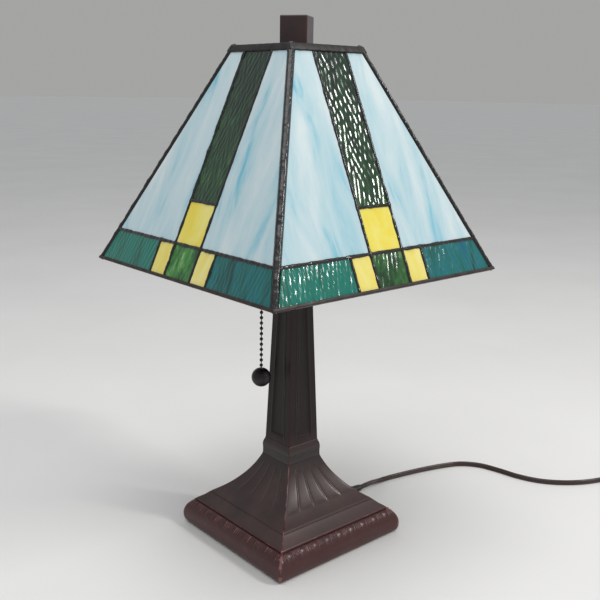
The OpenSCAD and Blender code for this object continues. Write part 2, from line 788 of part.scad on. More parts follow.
plug_back = tail_points[len(tail_points) - 1];
module plug_body() {
    nose = plug_w / 2 - 1;
    tail = 5.5;
    wide_y = -plug_length * 0.45;
    full_y = -plug_length * 0.4;
    chamfer = 2.5;
    color(cord_brown) translate([plug_back.x, plug_back.y, 0]) intersection() {
        linear_extrude(plug_t) polygon([[-tail, 0], [tail, 0], [plug_w / 2, wide_y],
            [nose, -plug_length], [-nose, -plug_length], [-plug_w / 2, wide_y]]);
        rotate([90, 0, 90]) linear_extrude(plug_w, center = true) polygon([
            [0, chamfer], [0, plug_t - chamfer], [full_y, plug_t],
            [-plug_length, plug_t], [-plug_length, 0], [full_y, 0]]);
    }
}

module plug_blades() {
    spacing = 12.7;
    blade = [1.5, 17, 6.4];
    color(brass) for (side = [-1, 1])
        translate([plug_back.x + side * spacing / 2, plug_back.y - plug_length - blade.y / 2, plug_t / 2])
            cube(blade, center = true);
}

felt_pad();
bottom_plate();
base_weight();
weight_spacer();
base_casting();
strain_relief();
supply_wire();
column_collar();
column();
column_cap();
threaded_rod();
rod_nuts();
rod_washer();
harp_saddle();
holder_cap();
holder_shell();
holder_liner();
switch_body();
screw_shell();
centre_contact();
chain_outlet();
pull_link();
pull_chain();
pull_ball();
bulb_base();
bulb_glass();
harp();
harp_stud();
sleeve(-1);  // sleeve_left
sleeve(1);  // sleeve_right
shade_cap();
finial();
corner_seams();
top_rim();
bottom_rim();
cord_run();
cord_coil();
cord_tail();
plug_body();
plug_blades();
for (k = [0:3]) came(k);
for (kind = glass_kinds, k = [0:3])
    glass(kind, k);
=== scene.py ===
# %% [markdown]
# # A leaded glass table lamp on a square cast column
# This notebook builds the looks of a lamp around a fixed frame. The frame already holds every
# part at its real size and place, so nothing here moves a part. Each cell explains one piece or
# one finish: what it is on the real lamp, how it could be made, and why this way was chosen.

# %% Load the frame and keep its box
import math

import bpy
import numpy as np
from mathutils import Matrix, Vector


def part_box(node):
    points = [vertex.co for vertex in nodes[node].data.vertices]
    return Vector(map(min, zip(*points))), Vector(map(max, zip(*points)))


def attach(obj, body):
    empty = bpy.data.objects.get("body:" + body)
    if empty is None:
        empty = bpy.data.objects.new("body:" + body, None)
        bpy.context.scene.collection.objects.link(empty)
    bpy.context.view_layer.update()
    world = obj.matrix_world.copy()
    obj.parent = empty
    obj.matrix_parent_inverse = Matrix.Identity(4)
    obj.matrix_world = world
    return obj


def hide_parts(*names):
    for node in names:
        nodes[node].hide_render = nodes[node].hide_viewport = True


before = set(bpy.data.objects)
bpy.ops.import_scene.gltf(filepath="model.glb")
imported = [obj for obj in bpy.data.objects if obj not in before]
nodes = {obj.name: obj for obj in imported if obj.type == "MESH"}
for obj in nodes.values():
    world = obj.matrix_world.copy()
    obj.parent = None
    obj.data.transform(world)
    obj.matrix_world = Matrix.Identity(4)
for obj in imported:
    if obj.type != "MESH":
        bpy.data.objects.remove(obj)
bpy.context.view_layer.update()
mm = 0.001


def new_object(name, data):
    """An object with this data, in the scene."""
    made = bpy.data.objects.new(name, data)
    bpy.context.scene.collection.objects.link(made)
    return made


# %% [markdown]
# ## Camera
# The camera stands in front of the lamp's near corner, a little above the shade's middle, and
# looks slightly down. It is built from a heading, a tilt and a small roll, because those three
# angles can be read and changed one at a time, which a bare rotation matrix doesn't allow.

# %% Camera
CAMERA_PLACE = Vector((-0.4989, -0.5818, 0.4195))
HEADING, TILT, ROLL = (math.radians(a) for a in (48.915, -13.804, 0.879))
LENS, SENSOR = 50.909, 36.0

ahead = Vector((math.cos(TILT) * math.cos(HEADING), math.cos(TILT) * math.sin(HEADING), math.sin(TILT)))
level = ahead.cross(Vector((0, 0, 1))).normalized()
upright = level.cross(ahead)
right = level * math.cos(ROLL) + upright * math.sin(ROLL)
up = upright * math.cos(ROLL) - level * math.sin(ROLL)
camera_data = bpy.data.cameras.new("camera")
camera_data.lens, camera_data.sensor_width = LENS, SENSOR
camera = new_object("camera", camera_data)
camera.matrix_world = Matrix.Translation(CAMERA_PLACE) @ Matrix((right, up, -ahead)).transposed().to_4x4()
bpy.context.scene.camera = camera
print("camera", [round(v, 3) for v in CAMERA_PLACE], "lens", LENS)

# %% [markdown]
# ## Meshes from grids
# Most pieces of this lamp are a profile carried along a path: the base runs round a square, a
# lead line runs straight, the cord follows its route. All of them are one grid of points with
# rows and columns. One helper turns such a grid into quads, and may join its last column to
# its first, its last row to its first, and close open ends with a centre point.


# %% Grid helpers
def grid_faces(rows, cols, wrap_rows=False, wrap_cols=True):
    """Quads between neighbours of a rows x cols grid: (i, j), (i, j+1), (i+1, j+1), (i+1, j)."""
    i = np.arange(rows if wrap_rows else rows - 1)[:, None]
    j = np.arange(cols if wrap_cols else cols - 1)[None, :]
    i2, j2 = (i + 1) % rows, (j + 1) % cols
    return np.stack([i * cols + j, i * cols + j2, i2 * cols + j2, i2 * cols + j], -1).reshape(-1, 4)


class Shells:
    """Collects closed shells, with their own UVs and wear, into one mesh."""

    def __init__(self):
        self.points, self.faces, self.uvs, self.wears, self.count = [], [], [], [], 0

    def add(self, points, faces, uv=None, wear=None):
        flat = np.asarray(points, float).reshape(-1, 3)
        self.points.append(flat)
        self.faces += [(np.asarray(f) + self.count).tolist() for f in faces]
        self.uvs.append(np.zeros((len(flat), 2)) if uv is None else np.asarray(uv, float).reshape(-1, 2))
        self.wears.append(np.zeros(len(flat)) if wear is None else np.asarray(wear, float).reshape(-1))
        self.count += len(flat)

    def tube(self, rings, uv=None, wear=None):
        """A grid whose columns close into rings, and whose two ends close in a fan."""
        n, m = rings.shape[:2]
        ends = rings[[0, -1]].mean(1)
        points = np.concatenate([rings.reshape(-1, 3), ends])
        j = np.arange(m)
        low = np.stack([np.full(m, n * m), (j + 1) % m, j], -1)
        high = np.stack([np.full(m, n * m + 1), (n - 1) * m + j, (n - 1) * m + (j + 1) % m], -1)
        values = [a if a is None else np.concatenate([a.reshape(n * m, -1), a[[0, -1], 0].reshape(2, -1)])
                  for a in (uv, wear)]
        self.add(points, [*grid_faces(n, m), *low, *high], *values)

    def object(self, name, smooth_angle=None):
        mesh = bpy.data.meshes.new(name)
        mesh.from_pydata(np.concatenate(self.points), [], self.faces)
        corner = np.zeros(len(mesh.loops), int)
        mesh.loops.foreach_get("vertex_index", corner)
        uv_map = mesh.uv_layers.new(name="UVMap")
        uv_map.data.foreach_set("uv", np.concatenate(self.uvs)[corner].ravel())
        wear = mesh.attributes.new("wear", "FLOAT", "POINT")
        wear.data.foreach_set("value", np.concatenate(self.wears).astype(np.float32))
        mesh.polygons.foreach_set("use_smooth", np.ones(len(mesh.polygons), bool))
        if smooth_angle is not None:
            mesh.set_sharp_from_angle(angle=math.radians(smooth_angle))
        mesh.update()
        print(f"{name}: {len(mesh.vertices)} points, {len(mesh.polygons)} faces")
        return new_object(name, mesh)


def corners(name):
    """The low and the high corner of a node's box."""
    return [np.array(corner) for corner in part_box(name)]


def run_along(points):
    """The distance from the first point to each point, along straight lines."""
    return np.concatenate([[0], np.cumsum(np.linalg.norm(np.diff(points, axis=0), axis=1))])


def turned_to_side(k, x, y, z):
    """Points of the front, turned by k quarter turns: 0 front, 1 right, 2 back, 3 left."""
    c, s = ((1, 0), (0, 1), (-1, 0), (0, -1))[k]
    return np.stack(np.broadcast_arrays(x * c - y * s, x * s + y * c, z), -1)


def smoothstep(low, high, x):
    """0 below low, 1 above high, and 3t^2 - 2t^3 between them."""
    t = np.clip((x - low) / (high - low), 0, 1)
    return t * t * (3 - 2 * t)


def waves(u, v, across, along, count, seed):
    """A rolled, rippled height from -1 to 1: a sum of sine waves whose crests run nearly along v.
    across and along are the shortest wave lengths in each direction."""
    draw = np.random.default_rng(seed)
    total = np.zeros_like(u)
    for _ in range(count):
        ku = 2 * math.pi / (across * draw.uniform(1, 2.2)) * draw.choice([-1, 1])
        kv = 2 * math.pi / (along * draw.uniform(1, 2.5)) * draw.choice([-1, 1])
        total += np.sin(ku * u + kv * v + draw.uniform(0, 2 * math.pi))
    return total / math.sqrt(count / 2) / 2


# %% [markdown]
# ## Cord
# The cord is flat: two round cores side by side under one cover, 5.6 mm wide. It leaves the
# base through a strain relief, comes down to the floor, runs away beside the lamp and is wound
# into a neat coil for storage. A curve with a round bevel would lose the flat section, so its
# two-lobed outline is carried along the route. The route's open stretches are a short list of
# points, and the coil's turns come from a formula.

# %% Cord route
CORD_WIDTH = 5.6 * mm
CORE_RADIUS = 0.277 * CORD_WIDTH
PATH_STEP = 2.5 * mm
RUN_POINTS = np.array([
    (97.3, 0, 11), (106, 0.6, 10.8), (119, 4, 8.4), (133, 8, 4.6), (149, 9, 2.8), (170, 5, 2.8),
    (196, -1, 2.8), (222, -9, 2.8), (243, -19, 2.8), (257, -36, 2.8), (263, -58, 2.8), (267, -81, 2.8),
    (276, -103, 2.8), (291, -121, 2.8), (310, -135, 2.8), (332, -145, 2.8), (356, -152, 2.8)]) * mm
TAIL_POINTS = np.array([(421, -207, 8.2), (421, -222, 7), (421, -240, 6.5)]) * mm
coil_low, coil_high = corners("cord_coil")
coil_centre = (coil_low + coil_high)[:2] / 2
coil_outer = (coil_high - coil_low)[0] / 2 - CORD_WIDTH / 2
TURNS, COLUMNS, TURN_STEP = 6.25, 3, 0.02
SIDE_STEP, LAYER_STEP = 0.15, 0.2  # half the share of a turn that each takes


def coil_points():
    """Turns round the coil's centre, clockwise from above. The radius steps in by one cord width
    after each turn of the lower layer, and out again on the upper layer."""
    turn = np.arange(0, TURNS + TURN_STEP / 2, TURN_STEP)
    inward = sum(smoothstep(k - SIDE_STEP, k + SIDE_STEP, turn) for k in (1, 2))
    outward = sum(smoothstep(k - SIDE_STEP, k + SIDE_STEP, turn) for k in (4, 5))
    radius = coil_outer - (inward - outward) * CORD_WIDTH
    layer = smoothstep(COLUMNS - LAYER_STEP, COLUMNS + LAYER_STEP, turn)
    angle = 2 * math.pi * turn
    return np.stack([coil_centre[0] + radius * np.sin(angle), coil_centre[1] + radius * np.cos(angle),
                     CORD_WIDTH * (0.5 + layer)], -1)


def catmull_rom(points, spacing):
    """A smooth curve through points, with straight-line spacing between its own points."""
    padded = np.concatenate([[2 * points[0] - points[1]], points, [2 * points[-1] - points[-2]]])
    t = np.linspace(0, 1, 24, endpoint=False)[:, None]
    spans = []
    for a, b, c, d in zip(padded, padded[1:], padded[2:], padded[3:]):
        spans.append(0.5 * (2 * b + (c - a) * t + (2 * a - 5 * b + 4 * c - d) * t**2
                            + (3 * b - a - 3 * c + d) * t**3))
    fine = np.concatenate([*spans, points[-1:]])
    run = run_along(fine)
    even = np.linspace(0, run[-1], int(run[-1] / spacing) + 1)
    return np.stack([np.interp(even, run, fine[:, axis]) for axis in range(3)], -1)


coil = coil_points()
cord_path = catmull_rom(np.concatenate([RUN_POINTS, coil[::3], TAIL_POINTS]), PATH_STEP)
run_length = run_along(cord_path)


# %% Cord surface
def two_core_outline(around=28):
    """Outline of two overlapping round cores, as (height, thickness): each ray from the middle ends
    on the farther core, at c cos a + sqrt(R^2 - c^2 sin^2 a)."""
    centre = CORD_WIDTH / 2 - CORE_RADIUS
    a = 2 * math.pi * np.arange(around) / around
    reach = centre * np.abs(np.cos(a)) + np.sqrt(CORE_RADIUS**2 - (centre * np.sin(a))**2)
    return np.stack([reach * np.cos(a), reach * np.sin(a)], -1)


def carried(path, outline):
    """The outline carried along the path, its first axis as upright as it can be."""
    ahead_of = np.gradient(path, axis=0)
    ahead_of /= np.linalg.norm(ahead_of, axis=1)[:, None]
    side = np.cross([0.0, 0.0, 1.0], ahead_of)
    side /= np.linalg.norm(side, axis=1)[:, None]
    top = np.cross(ahead_of, side)
    return path[:, None] + outline[:, :1] * top[:, None] + outline[:, 1:] * side[:, None]


cord_shell = Shells()
outline = two_core_outline()
turn_round = np.arange(len(outline)) / len(outline)
cord_uv = np.stack(np.broadcast_arrays(turn_round[None, :], run_length[:, None]), -1)
cord_shell.tube(carried(cord_path, outline), cord_uv)
cord = cord_shell.object("cord")

# %% [markdown]
# ## Plug and strain relief
# The plug is a moulded block with finger ridges, narrow where the cord enters. Its cross
# section changes smoothly along its length, so it is a tube whose rings are rounded
# rectangles. The strain relief is the ribbed, tapered sleeve that stops the cord from
# kinking where it leaves the base; it is turned, so its rings are circles.


# %% Plug
def rounded_box_ring(half_w, half_h, around=40, power=4.0):
    """A superellipse |x/w|^p + |y/h|^p = 1: a rectangle with soft corners."""
    a = 2 * math.pi * np.arange(around) / around
    c, s = np.cos(a), np.sin(a)
    return np.stack([half_w * np.sign(c) * np.abs(c)**(2 / power),
                     half_h * np.sign(s) * np.abs(s)**(2 / power)], -1)


PLUG_RIDGES, PLUG_RIDGE_H, END_SHARE, END_DROP = 13, 0.035, 0.07, 0.12
plug_low, plug_high = corners("plug_body")
plug_centre = (plug_low + plug_high) / 2
plug_half_w, plug_half_h = (plug_high - plug_low)[0] / 2, (plug_high - plug_low)[2] / 2
t = np.concatenate([[0, 0.004, 0.012], np.linspace(0.03, 0.97, 60), [0.988, 0.996, 1]])
swell = 0.5 + 0.5 * smoothstep(0, 0.45, t) - 0.06 * smoothstep(0.6, 1, t)
grip = smoothstep(0.1, 0.2, t) * (1 - smoothstep(0.6, 0.7, t))
ridges = PLUG_RIDGE_H * np.sin(2 * math.pi * t * PLUG_RIDGES) * grip
into_end = (np.abs(2 * t - 1) - 1 + END_SHARE).clip(0) / END_SHARE
round_ends = np.sqrt(np.clip(1 - into_end**2, 0, 1)) * END_DROP + 1 - END_DROP
width_along = plug_half_w * (swell + ridges) * round_ends
height_along = plug_half_h * (0.62 + 0.36 * smoothstep(0, 0.4, t)) * round_ends
ring = rounded_box_ring(1, 1)
plug_rings = np.zeros((len(t), len(ring), 3))
plug_rings[..., 0] = plug_centre[0] - width_along[:, None] * ring[:, 0]
plug_rings[..., 1] = (plug_high[1] - t * (plug_high - plug_low)[1])[:, None]
plug_rings[..., 2] = plug_centre[2] + height_along[:, None] * ring[:, 1]
plug_shell = Shells()
plug_shell.tube(plug_rings[:, ::-1])
plug = plug_shell.object("plug", 40)

# %% Strain relief
relief_low, relief_high = corners("strain_relief")
RELIEF_FLANGE, RELIEF_OUTER_D, RELIEF_NECK_D = 2 * mm, 14 * mm, 9 * mm
TAPER_FROM, TAPER_TO, RIB_DEPTH, RIB_PITCH = 5.2 * mm, 3.4 * mm, 0.35 * mm, 2.4 * mm
flange_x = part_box("base_casting")[1].x + 0.2 * mm
s = np.linspace(0, 1, 90)
x = relief_low[0] + 0.2 * mm + s * (relief_high - relief_low - 0.2 * mm)[0]
taper = np.interp(x, [flange_x + RELIEF_FLANGE, relief_high[0]], [TAPER_FROM, TAPER_TO])
ribs = RIB_DEPTH * np.abs(np.sin(math.pi * (x - flange_x) / RIB_PITCH))
radius = np.where(x < flange_x - 1 * mm, RELIEF_NECK_D / 2 - 0.2 * mm,
                  np.where(x < flange_x + RELIEF_FLANGE, RELIEF_OUTER_D / 2 - 0.1 * mm, taper - ribs))
a = 2 * math.pi * np.arange(40) / 40
relief_z = (relief_low + relief_high)[2] / 2
relief_rings = np.stack(np.broadcast_arrays(
    x[:, None], radius[:, None] * np.cos(a), relief_z + radius[:, None] * np.sin(a)), -1)
relief_shell = Shells()
relief_shell.tube(relief_rings)
relief = relief_shell.object("strain_relief_sleeve", 40)

# %% [markdown]
# ## Square mouldings
# The base, the collar and the column are square in plan, with mitred corners whose edges are
# softened by casting and paint. Each is one profile of half width and height carried round a
# square with small corner arcs. Relief such as flutes and reeding is added as a height along
# the profile's own normal, which keeps every corner closed.


# %% Square moulding helper
MITRE_FADE, KNEE, ARC_STEPS = 1.6 * mm, 2 * mm, 4
FACE_SHIFT = 0.3  # of the finish, from face to face


def square_moulding(shell, profile, corner, columns, relief=None, wear=None):
    """A closed profile of (half width w, height z) rows carried round a square of corner radius r.
    On the flat, x = u (w - r) and y = -w; on an arc the point turns about (w - r, -(w - r)).
    columns is a count of equal steps, or the u values themselves, which then keep the same x in
    every row, except within KNEE of the mitres.
    relief(u, x, row) gives a height along the profile's normal, and fades out at the mitres.
    wear(u, x, turn, row) gives how far the paint is rubbed, from 0 to 1."""
    profile = np.asarray(profile, float)
    corner = np.broadcast_to(corner, len(profile))[:, None]
    along = np.roll(profile, -1, 0) - np.roll(profile, 1, 0)
    normal = np.stack([along[:, 1], -along[:, 0]], -1)
    normal /= np.maximum(np.linalg.norm(normal, axis=1), 1e-9)[:, None]
    equal = isinstance(columns, int)
    u = np.linspace(-1, 1, columns + 1) if equal else np.asarray(columns)
    turn = np.concatenate([0 * u, np.linspace(0, math.pi / 2, ARC_STEPS + 1)[1:-1]])
    u = np.concatenate([u, np.ones(ARC_STEPS - 1)])
    w, z = profile[:, :1] + 0 * u, profile[:, 1:] + 0 * u
    row = np.arange(len(profile))[:, None] + 0 * w
    flat = w - corner
    if not equal:
        widest, knee = flat.max(), (flat.min() - KNEE) / flat.max()
        bent = knee * widest + (np.abs(u) - knee) / (1 - knee) * (flat - knee * widest)
        u = np.sign(u) * np.where(np.abs(u) < knee, np.abs(u) * widest, bent) / flat
    if relief is not None:
        fade = np.clip((1 - np.abs(u)) * profile[:, :1] / MITRE_FADE, 0, 1)
        height = relief(u + 0 * w, u * flat, row) * fade
        w, z = w + height * normal[:, :1], z + height * normal[:, 1:]
    reach = w - flat
    x = u * flat + reach * np.sin(turn)
    y = -flat - reach * np.cos(turn)
    rub = 0 * w if wear is None else wear(u + 0 * w, u * flat, turn + 0 * w, row)
    points = np.concatenate([turned_to_side(k, x, y, z) for k in range(4)], 1)
    run = run_along(profile)[:, None] + 0 * x
    uv = np.concatenate([np.stack([x + k * FACE_SHIFT, run], -1) for k in range(4)], 1)
    rub = np.concatenate([rub] * 4, 1)
    shell.add(points, grid_faces(*points.shape[:2], wrap_rows=True), uv, rub)


def moulded(name, smooth_angle, *moulding):
    """A piece of one square moulding."""
    shell = Shells()
    square_moulding(shell, *moulding)
    return shell.object(name, smooth_angle)


def bowed(p, q, rise, count):
    """Points from p to q on a parabola that stands rise to the right of the straight line."""
    p, q = np.array(p, float), np.array(q, float)
    t = np.linspace(0, 1, count + 1)[:, None]
    d = q - p
    return p + d * t + np.array([d[1], -d[0]]) / np.hypot(*d) * rise * 4 * t * (1 - t)


def rows(*parts):
    """Profile parts one after another, without doubled points."""
    joined = np.concatenate([np.atleast_2d(np.array(p, float)) for p in parts])
    keep = np.concatenate([[True], np.linalg.norm(np.diff(joined, axis=0), axis=1) > 1e-6])
    return joined[keep]


# %% [markdown]
# ## Base casting
# The real base is one casting: a bull-nose rim with a band of bead and reel, a sloped
# plate, and a skirt that sweeps up to the column with five flutes fanning out on each face.
# The relief could be a bump in the finish, but it is what catches the light, so it is real
# geometry. The rim and the skirt are two closed shells that meet in the groove between them:
# the thin reels need columns a quarter of a millimetre apart, and the skirt doesn't.

# %% Base profiles
casting_low, casting_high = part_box("base_casting")
collar_low, collar_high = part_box("column_collar")
column_low, column_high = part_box("column")
BASE_HALF, RIM_H, RIM_BULGE = 76.2 * mm, 24.6 * mm, 3.2 * mm
RIM_SHOULDER, PLATE_W, PLATE_RISE = 9.2 * mm, 12.4 * mm, 0.68
SKIRT_HALF, SKIRT_HOLLOW, COLLAR_OVERHANG = 55.2 * mm, 4.4 * mm, 2.1 * mm
foot_z, skirt_top = casting_low.z, casting_high.z
column_half = column_high.x
plate_edge = BASE_HALF - RIM_SHOULDER
step_z = RIM_H + 1 * mm + PLATE_W * PLATE_RISE
collar_half = column_half + COLLAR_OVERHANG

rim_face = bowed((BASE_HALF - 0.3 * mm, foot_z + 4.2 * mm), (plate_edge + 1.2 * mm, RIM_H - 0.6 * mm),
                 RIM_BULGE, 28)
rim_rows = rows(
    (BASE_HALF - 7 * mm, foot_z), (BASE_HALF - 3.2 * mm, foot_z), (BASE_HALF - 2.1 * mm, foot_z + 0.4 * mm),
    (BASE_HALF - 1.2 * mm, foot_z + 1.4 * mm), (BASE_HALF - 0.6 * mm, foot_z + 2.8 * mm), rim_face,
    (plate_edge + 0.6 * mm, RIM_H - 0.9 * mm), (plate_edge + 0.1 * mm, RIM_H - 0.8 * mm),
    (plate_edge - 2 * mm, RIM_H - 1.2 * mm), (BASE_HALF - 10 * mm, RIM_H - 4 * mm),
    (BASE_HALF - 7 * mm, 12 * mm))
skirt_face = bowed((SKIRT_HALF + 0.2 * mm, step_z + 0.7 * mm), (collar_half, skirt_top), -SKIRT_HOLLOW, 34)
skirt_rows = rows(
    (plate_edge - 2 * mm, RIM_H - 1.4 * mm), (plate_edge - 0.1 * mm, RIM_H - 1.0 * mm),
    (plate_edge, RIM_H + 0.5 * mm), (plate_edge - 0.25 * mm, RIM_H + 0.95 * mm),
    (plate_edge - 0.9 * mm, RIM_H + 1.45 * mm),
    (plate_edge - 0.5 * PLATE_W, RIM_H + 1 * mm + 0.5 * PLATE_W * PLATE_RISE),
    (SKIRT_HALF + 1.7 * mm, step_z - 0.65 * mm), (SKIRT_HALF + 1.2 * mm, step_z - 1.15 * mm),
    (SKIRT_HALF + 0.8 * mm, step_z - 0.5 * mm), (SKIRT_HALF + 0.5 * mm, step_z + 0.4 * mm), skirt_face,
    (collar_half - 3 * mm, skirt_top), (collar_half - 3 * mm, skirt_top - 2.4 * mm),
    (SKIRT_HALF - 6 * mm, step_z - 2 * mm), (plate_edge - 4 * mm, RIM_H - 2.4 * mm))

# %% Base relief
GROUPS, GROUP_PITCH, BAND = 10, 15.2 * mm, 10.5 * mm
REEL_STEP, REEL_WIDTH, REEL_H = 2.6 * mm, 0.8 * mm, 0.6 * mm
BEAD_HALF, BEAD_H = 3.1 * mm, 0.45 * mm
FLUTES, FLUTE_PITCH, FLUTE_DEPTH = 5, 0.4, 0.3 * mm
RIDGE_H, RIDGE_WIDTH = 0.4 * mm, 0.16
FLUTE_LOW, FLUTE_HIGH = 43 * mm, 71 * mm
rim_run = run_along(rim_rows)
band_end = rim_run[rim_rows[:, 1].argmax()]
REEL_ZONE = 0.27
beat = np.concatenate([np.linspace(-0.5, -REEL_ZONE, 7)[:-1], np.linspace(-REEL_ZONE, REEL_ZONE, 32)[:-1],
                       np.linspace(REEL_ZONE, 0.5, 7)[:-1]])
middles = np.arange(GROUPS) + 0.5 - GROUPS / 2
rim_columns = (np.add.outer(middles, beat).ravel() * GROUP_PITCH) / (BASE_HALF + 1.2 * mm)
rim_columns = np.concatenate([[-1], rim_columns[np.abs(rim_columns) < 0.995], [1]])


def band_place(x, row):
    """Distance from the middle of the nearest group, and the share of the band passed. The band
    is measured along the profile, down from the groove."""
    return ((x / GROUP_PITCH) % 1 - 0.5) * GROUP_PITCH, (band_end - rim_run[row.astype(int)]) / BAND


def reels(x, row):
    """Three thin ridges across the band in each group."""
    off, down = band_place(x, row)
    ridge = sum(np.exp(-((off - n * REEL_STEP) / REEL_WIDTH)**2) for n in (-1, 0, 1))
    return ridge * smoothstep(-0.02, 0.1, down) * (1 - smoothstep(0.5, 1.0, down))


def rim_relief(u, x, row):
    """Bead and reel on the rim's upper part: three thin reels, then an oval bead between groups."""
    off, down = band_place(x, row)
    bead_x = (GROUP_PITCH / 2 - np.abs(off)) / BEAD_HALF
    bead = np.clip(1 - bead_x**2, 0, 1)**0.7 * smoothstep(-0.02, 0.25, down) * (1 - smoothstep(0.35, 0.8, down))
    return REEL_H * reels(x, row) + BEAD_H * bead


def skirt_relief(u, x, row):
    """Five shallow flutes share the face's width, with a raised ridge between each two."""
    row = row.astype(int)
    z = skirt_rows[row, 1]
    face = (row > 8) & (row < 9 + len(skirt_face)) & (z > FLUTE_LOW) & (z < FLUTE_HIGH)
    length = np.clip((z - FLUTE_LOW) / (FLUTE_HIGH - FLUTE_LOW), 0, 1)
    ends = np.sqrt(np.clip(1 - np.abs(2 * length - 1)**8, 0, 1)) * face
    nearest = np.clip(np.round(u / FLUTE_PITCH), -(FLUTES // 2), FLUTES // 2) * FLUTE_PITCH
    off = np.abs(u - nearest) / (FLUTE_PITCH / 2)
    hollow = np.clip(1 - off**2, 0, 1)**0.6 * ends
    ridge = RIDGE_H * np.exp(-((off - 1.0) / RIDGE_WIDTH)**2) * ends * (np.abs(u) < 2 * FLUTE_PITCH)
    return ridge - FLUTE_DEPTH * hollow * (1 - 0.4 * length)


# RED_WEAR lays the thin red coat over the whole rim; the second value lightens the reels' crests, partly as
# rubbed copper and partly as a painted highlight.
RED_WEAR, CREST_RUB_AND_HIGHLIGHT = 0.38, 0.55


def rim_wear(u, x, turn, row):
    """The rim keeps a thin red top coat. It is rubbed at the mitres, and the reels' crests are lightened:
    partly rubbed copper, partly a painted highlight.
    """
    z = rim_rows[row.astype(int), 1]
    mitre = (turn > 0) * 0.8 + 0.5 * smoothstep(0.8 * mm, 0, (1 - np.abs(u)) * BASE_HALF)
    return np.clip(mitre * (z > 2 * mm) + RED_WEAR + CREST_RUB_AND_HIGHLIGHT * reels(x, row)**3, 0, 1)


def skirt_wear(u, x, turn, row):
    """Paint rubbed to copper on the mitres and, faintly, on the plate's edge and on the step."""
    w, z = skirt_rows[row.astype(int)].transpose(2, 0, 1)
    mitre = (turn > 0) * 1.0 + 0.3 * smoothstep(0.5 * mm, 0, (1 - np.abs(u)) * w)
    edge = 0.75 * np.exp(-((z - RIM_H - 0.7 * mm) / (0.5 * mm))**2)
    step = 0.3 * np.exp(-((w - SKIRT_HALF - 0.6 * mm) / (0.5 * mm))**2
                        - ((z - step_z - 0.2 * mm) / (0.6 * mm))**2)
    return np.clip(mitre + edge + step, 0, 1)


casting_shell = Shells()
square_moulding(casting_shell, rim_rows, 1.6 * mm, rim_columns, rim_relief, rim_wear)
square_moulding(casting_shell, skirt_rows, 0.7 * mm, 150, skirt_relief, skirt_wear)
casting = casting_shell.object("painted_base", 42)

# %% [markdown]
# ## Collar and column
# The collar is a low rounded bead over an almost upright band. The column tapers upwards, and
# a shallow channel is pressed into each face between two borders of constant width, so the
# channel's edges run parallel to the column's edges.

# %% Collar
bead_low = collar_low.z + 6.6 * mm
collar_top = collar_high.z
collar_profile = rows(
    (collar_half - 0.1 * mm, collar_low.z + 0.02 * mm),
    bowed((collar_half, collar_low.z + 0.2 * mm), (collar_half - 0.2 * mm, bead_low), -0.15 * mm, 8),
    bowed((collar_half - 0.25 * mm, bead_low + 0.4 * mm), (collar_half - 1.3 * mm, collar_top - 2.4 * mm),
          0.6 * mm, 14),
    (collar_half - 1.6 * mm, collar_top - 1.5 * mm), (column_half + 0.25 * mm, collar_top - 0.5 * mm),
    (column_half - 0.4 * mm, collar_top - 0.02 * mm), (column_half - 2.5 * mm, collar_top - 0.02 * mm),
    (column_half - 2.5 * mm, collar_low.z + 0.02 * mm))


def mitre_wear(strength):
    """Rubbed paint along the corner arcs only."""
    return lambda u, x, turn, row: strength * (turn > 0)


collar = moulded("painted_collar", 42, collar_profile, 0.9 * mm, 60, None, mitre_wear(0.6))

# %% Column
BORDER, CHANNEL_DEPTH, CHANNEL_END, COVE = 8.3 * mm, 1.2 * mm, 6 * mm, 1.5 * mm
EDGE_H, WALL = 0.25 * mm, 2.4 * mm
column_h = column_high.z - column_low.z
column_top_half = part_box("column_cap")[1].x - 2.6 * mm
heights = mm * np.concatenate(
    [np.linspace(0, 14, 22), np.linspace(18, 176, 40), np.linspace(179, column_h / mm, 22)])
half_at = column_half + (column_top_half - column_half) * heights / column_h
column_profile = np.concatenate([
    np.stack([half_at, column_low.z + heights], -1),
    np.stack([half_at[[-1, 0]] - WALL, column_low.z + heights[[-1, 0]]], -1)])


def column_relief(u, x, row):
    """A channel inside a border of constant width on each side, and inside the plain ends above
    and below, with a soft cove at its edge and a low ridge on the border beside it."""
    row = row.astype(int)
    w, z = column_profile[row, 0], column_profile[row, 1] - column_low.z
    ends = np.minimum(z - CHANNEL_END, column_h - CHANNEL_END - z) * 0.45
    inside = np.minimum(w - np.abs(x) - BORDER, ends)
    beside = ends > inside
    lip = 0.22 * np.exp(-((inside - 2.3 * mm) / (0.9 * mm))**2) * beside
    ridge = EDGE_H * np.exp(-((inside + 0.7 * mm) / (0.5 * mm))**2) * beside
    return (ridge - CHANNEL_DEPTH * (smoothstep(0, COVE, inside) - lip)) * (row < len(heights))


column = moulded("painted_column", 42, column_profile, 0.8 * mm, 110, column_relief, mitre_wear(0.45))

# %% [markdown]
# ## The shade's panels
# The shade is four flat leaded panels that lean together. Every point of a panel has three
# coordinates: u across, v up the slope and w outwards from the glass. The slope and the sizes
# of the pattern are read from the frame's boxes, so the glass stays where the frame has it.

# %% Panel coordinates
GLASS_T, CAME_FLANGE, CAME_WIDTH, RIM_PROUD = 3 * mm, 1 * mm, 3.4 * mm, 0.4 * mm
PANE_GAP, GLASS_PLAY, SEAM_R = 0.55 * mm, 0.05 * mm, 2.9 * mm
PANEL_T = GLASS_T + 2 * CAME_FLANGE
SHIFT_U, SHIFT_V = 0.31, 0.17  # from side to side, so that no two have the same streaks
bottom_low, bottom_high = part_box("bottom_rim")
top_low, top_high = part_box("top_rim")
slope = math.atan2(top_low.z - bottom_low.z, bottom_high.x - top_high.x)
rim_foot = (PANEL_T + RIM_PROUD) * math.cos(slope)
shade_z = bottom_low.z + rim_foot
shade_half = bottom_high.x - RIM_PROUD * math.sin(slope)
strip_top = (top_low.z - bottom_low.z) / math.sin(slope)
panel_h = strip_top + (top_high.z - top_low.z - rim_foot - RIM_PROUD * math.cos(slope)) / math.sin(slope)
glass_under = (CAME_FLANGE + GLASS_PLAY) * math.cos(slope)
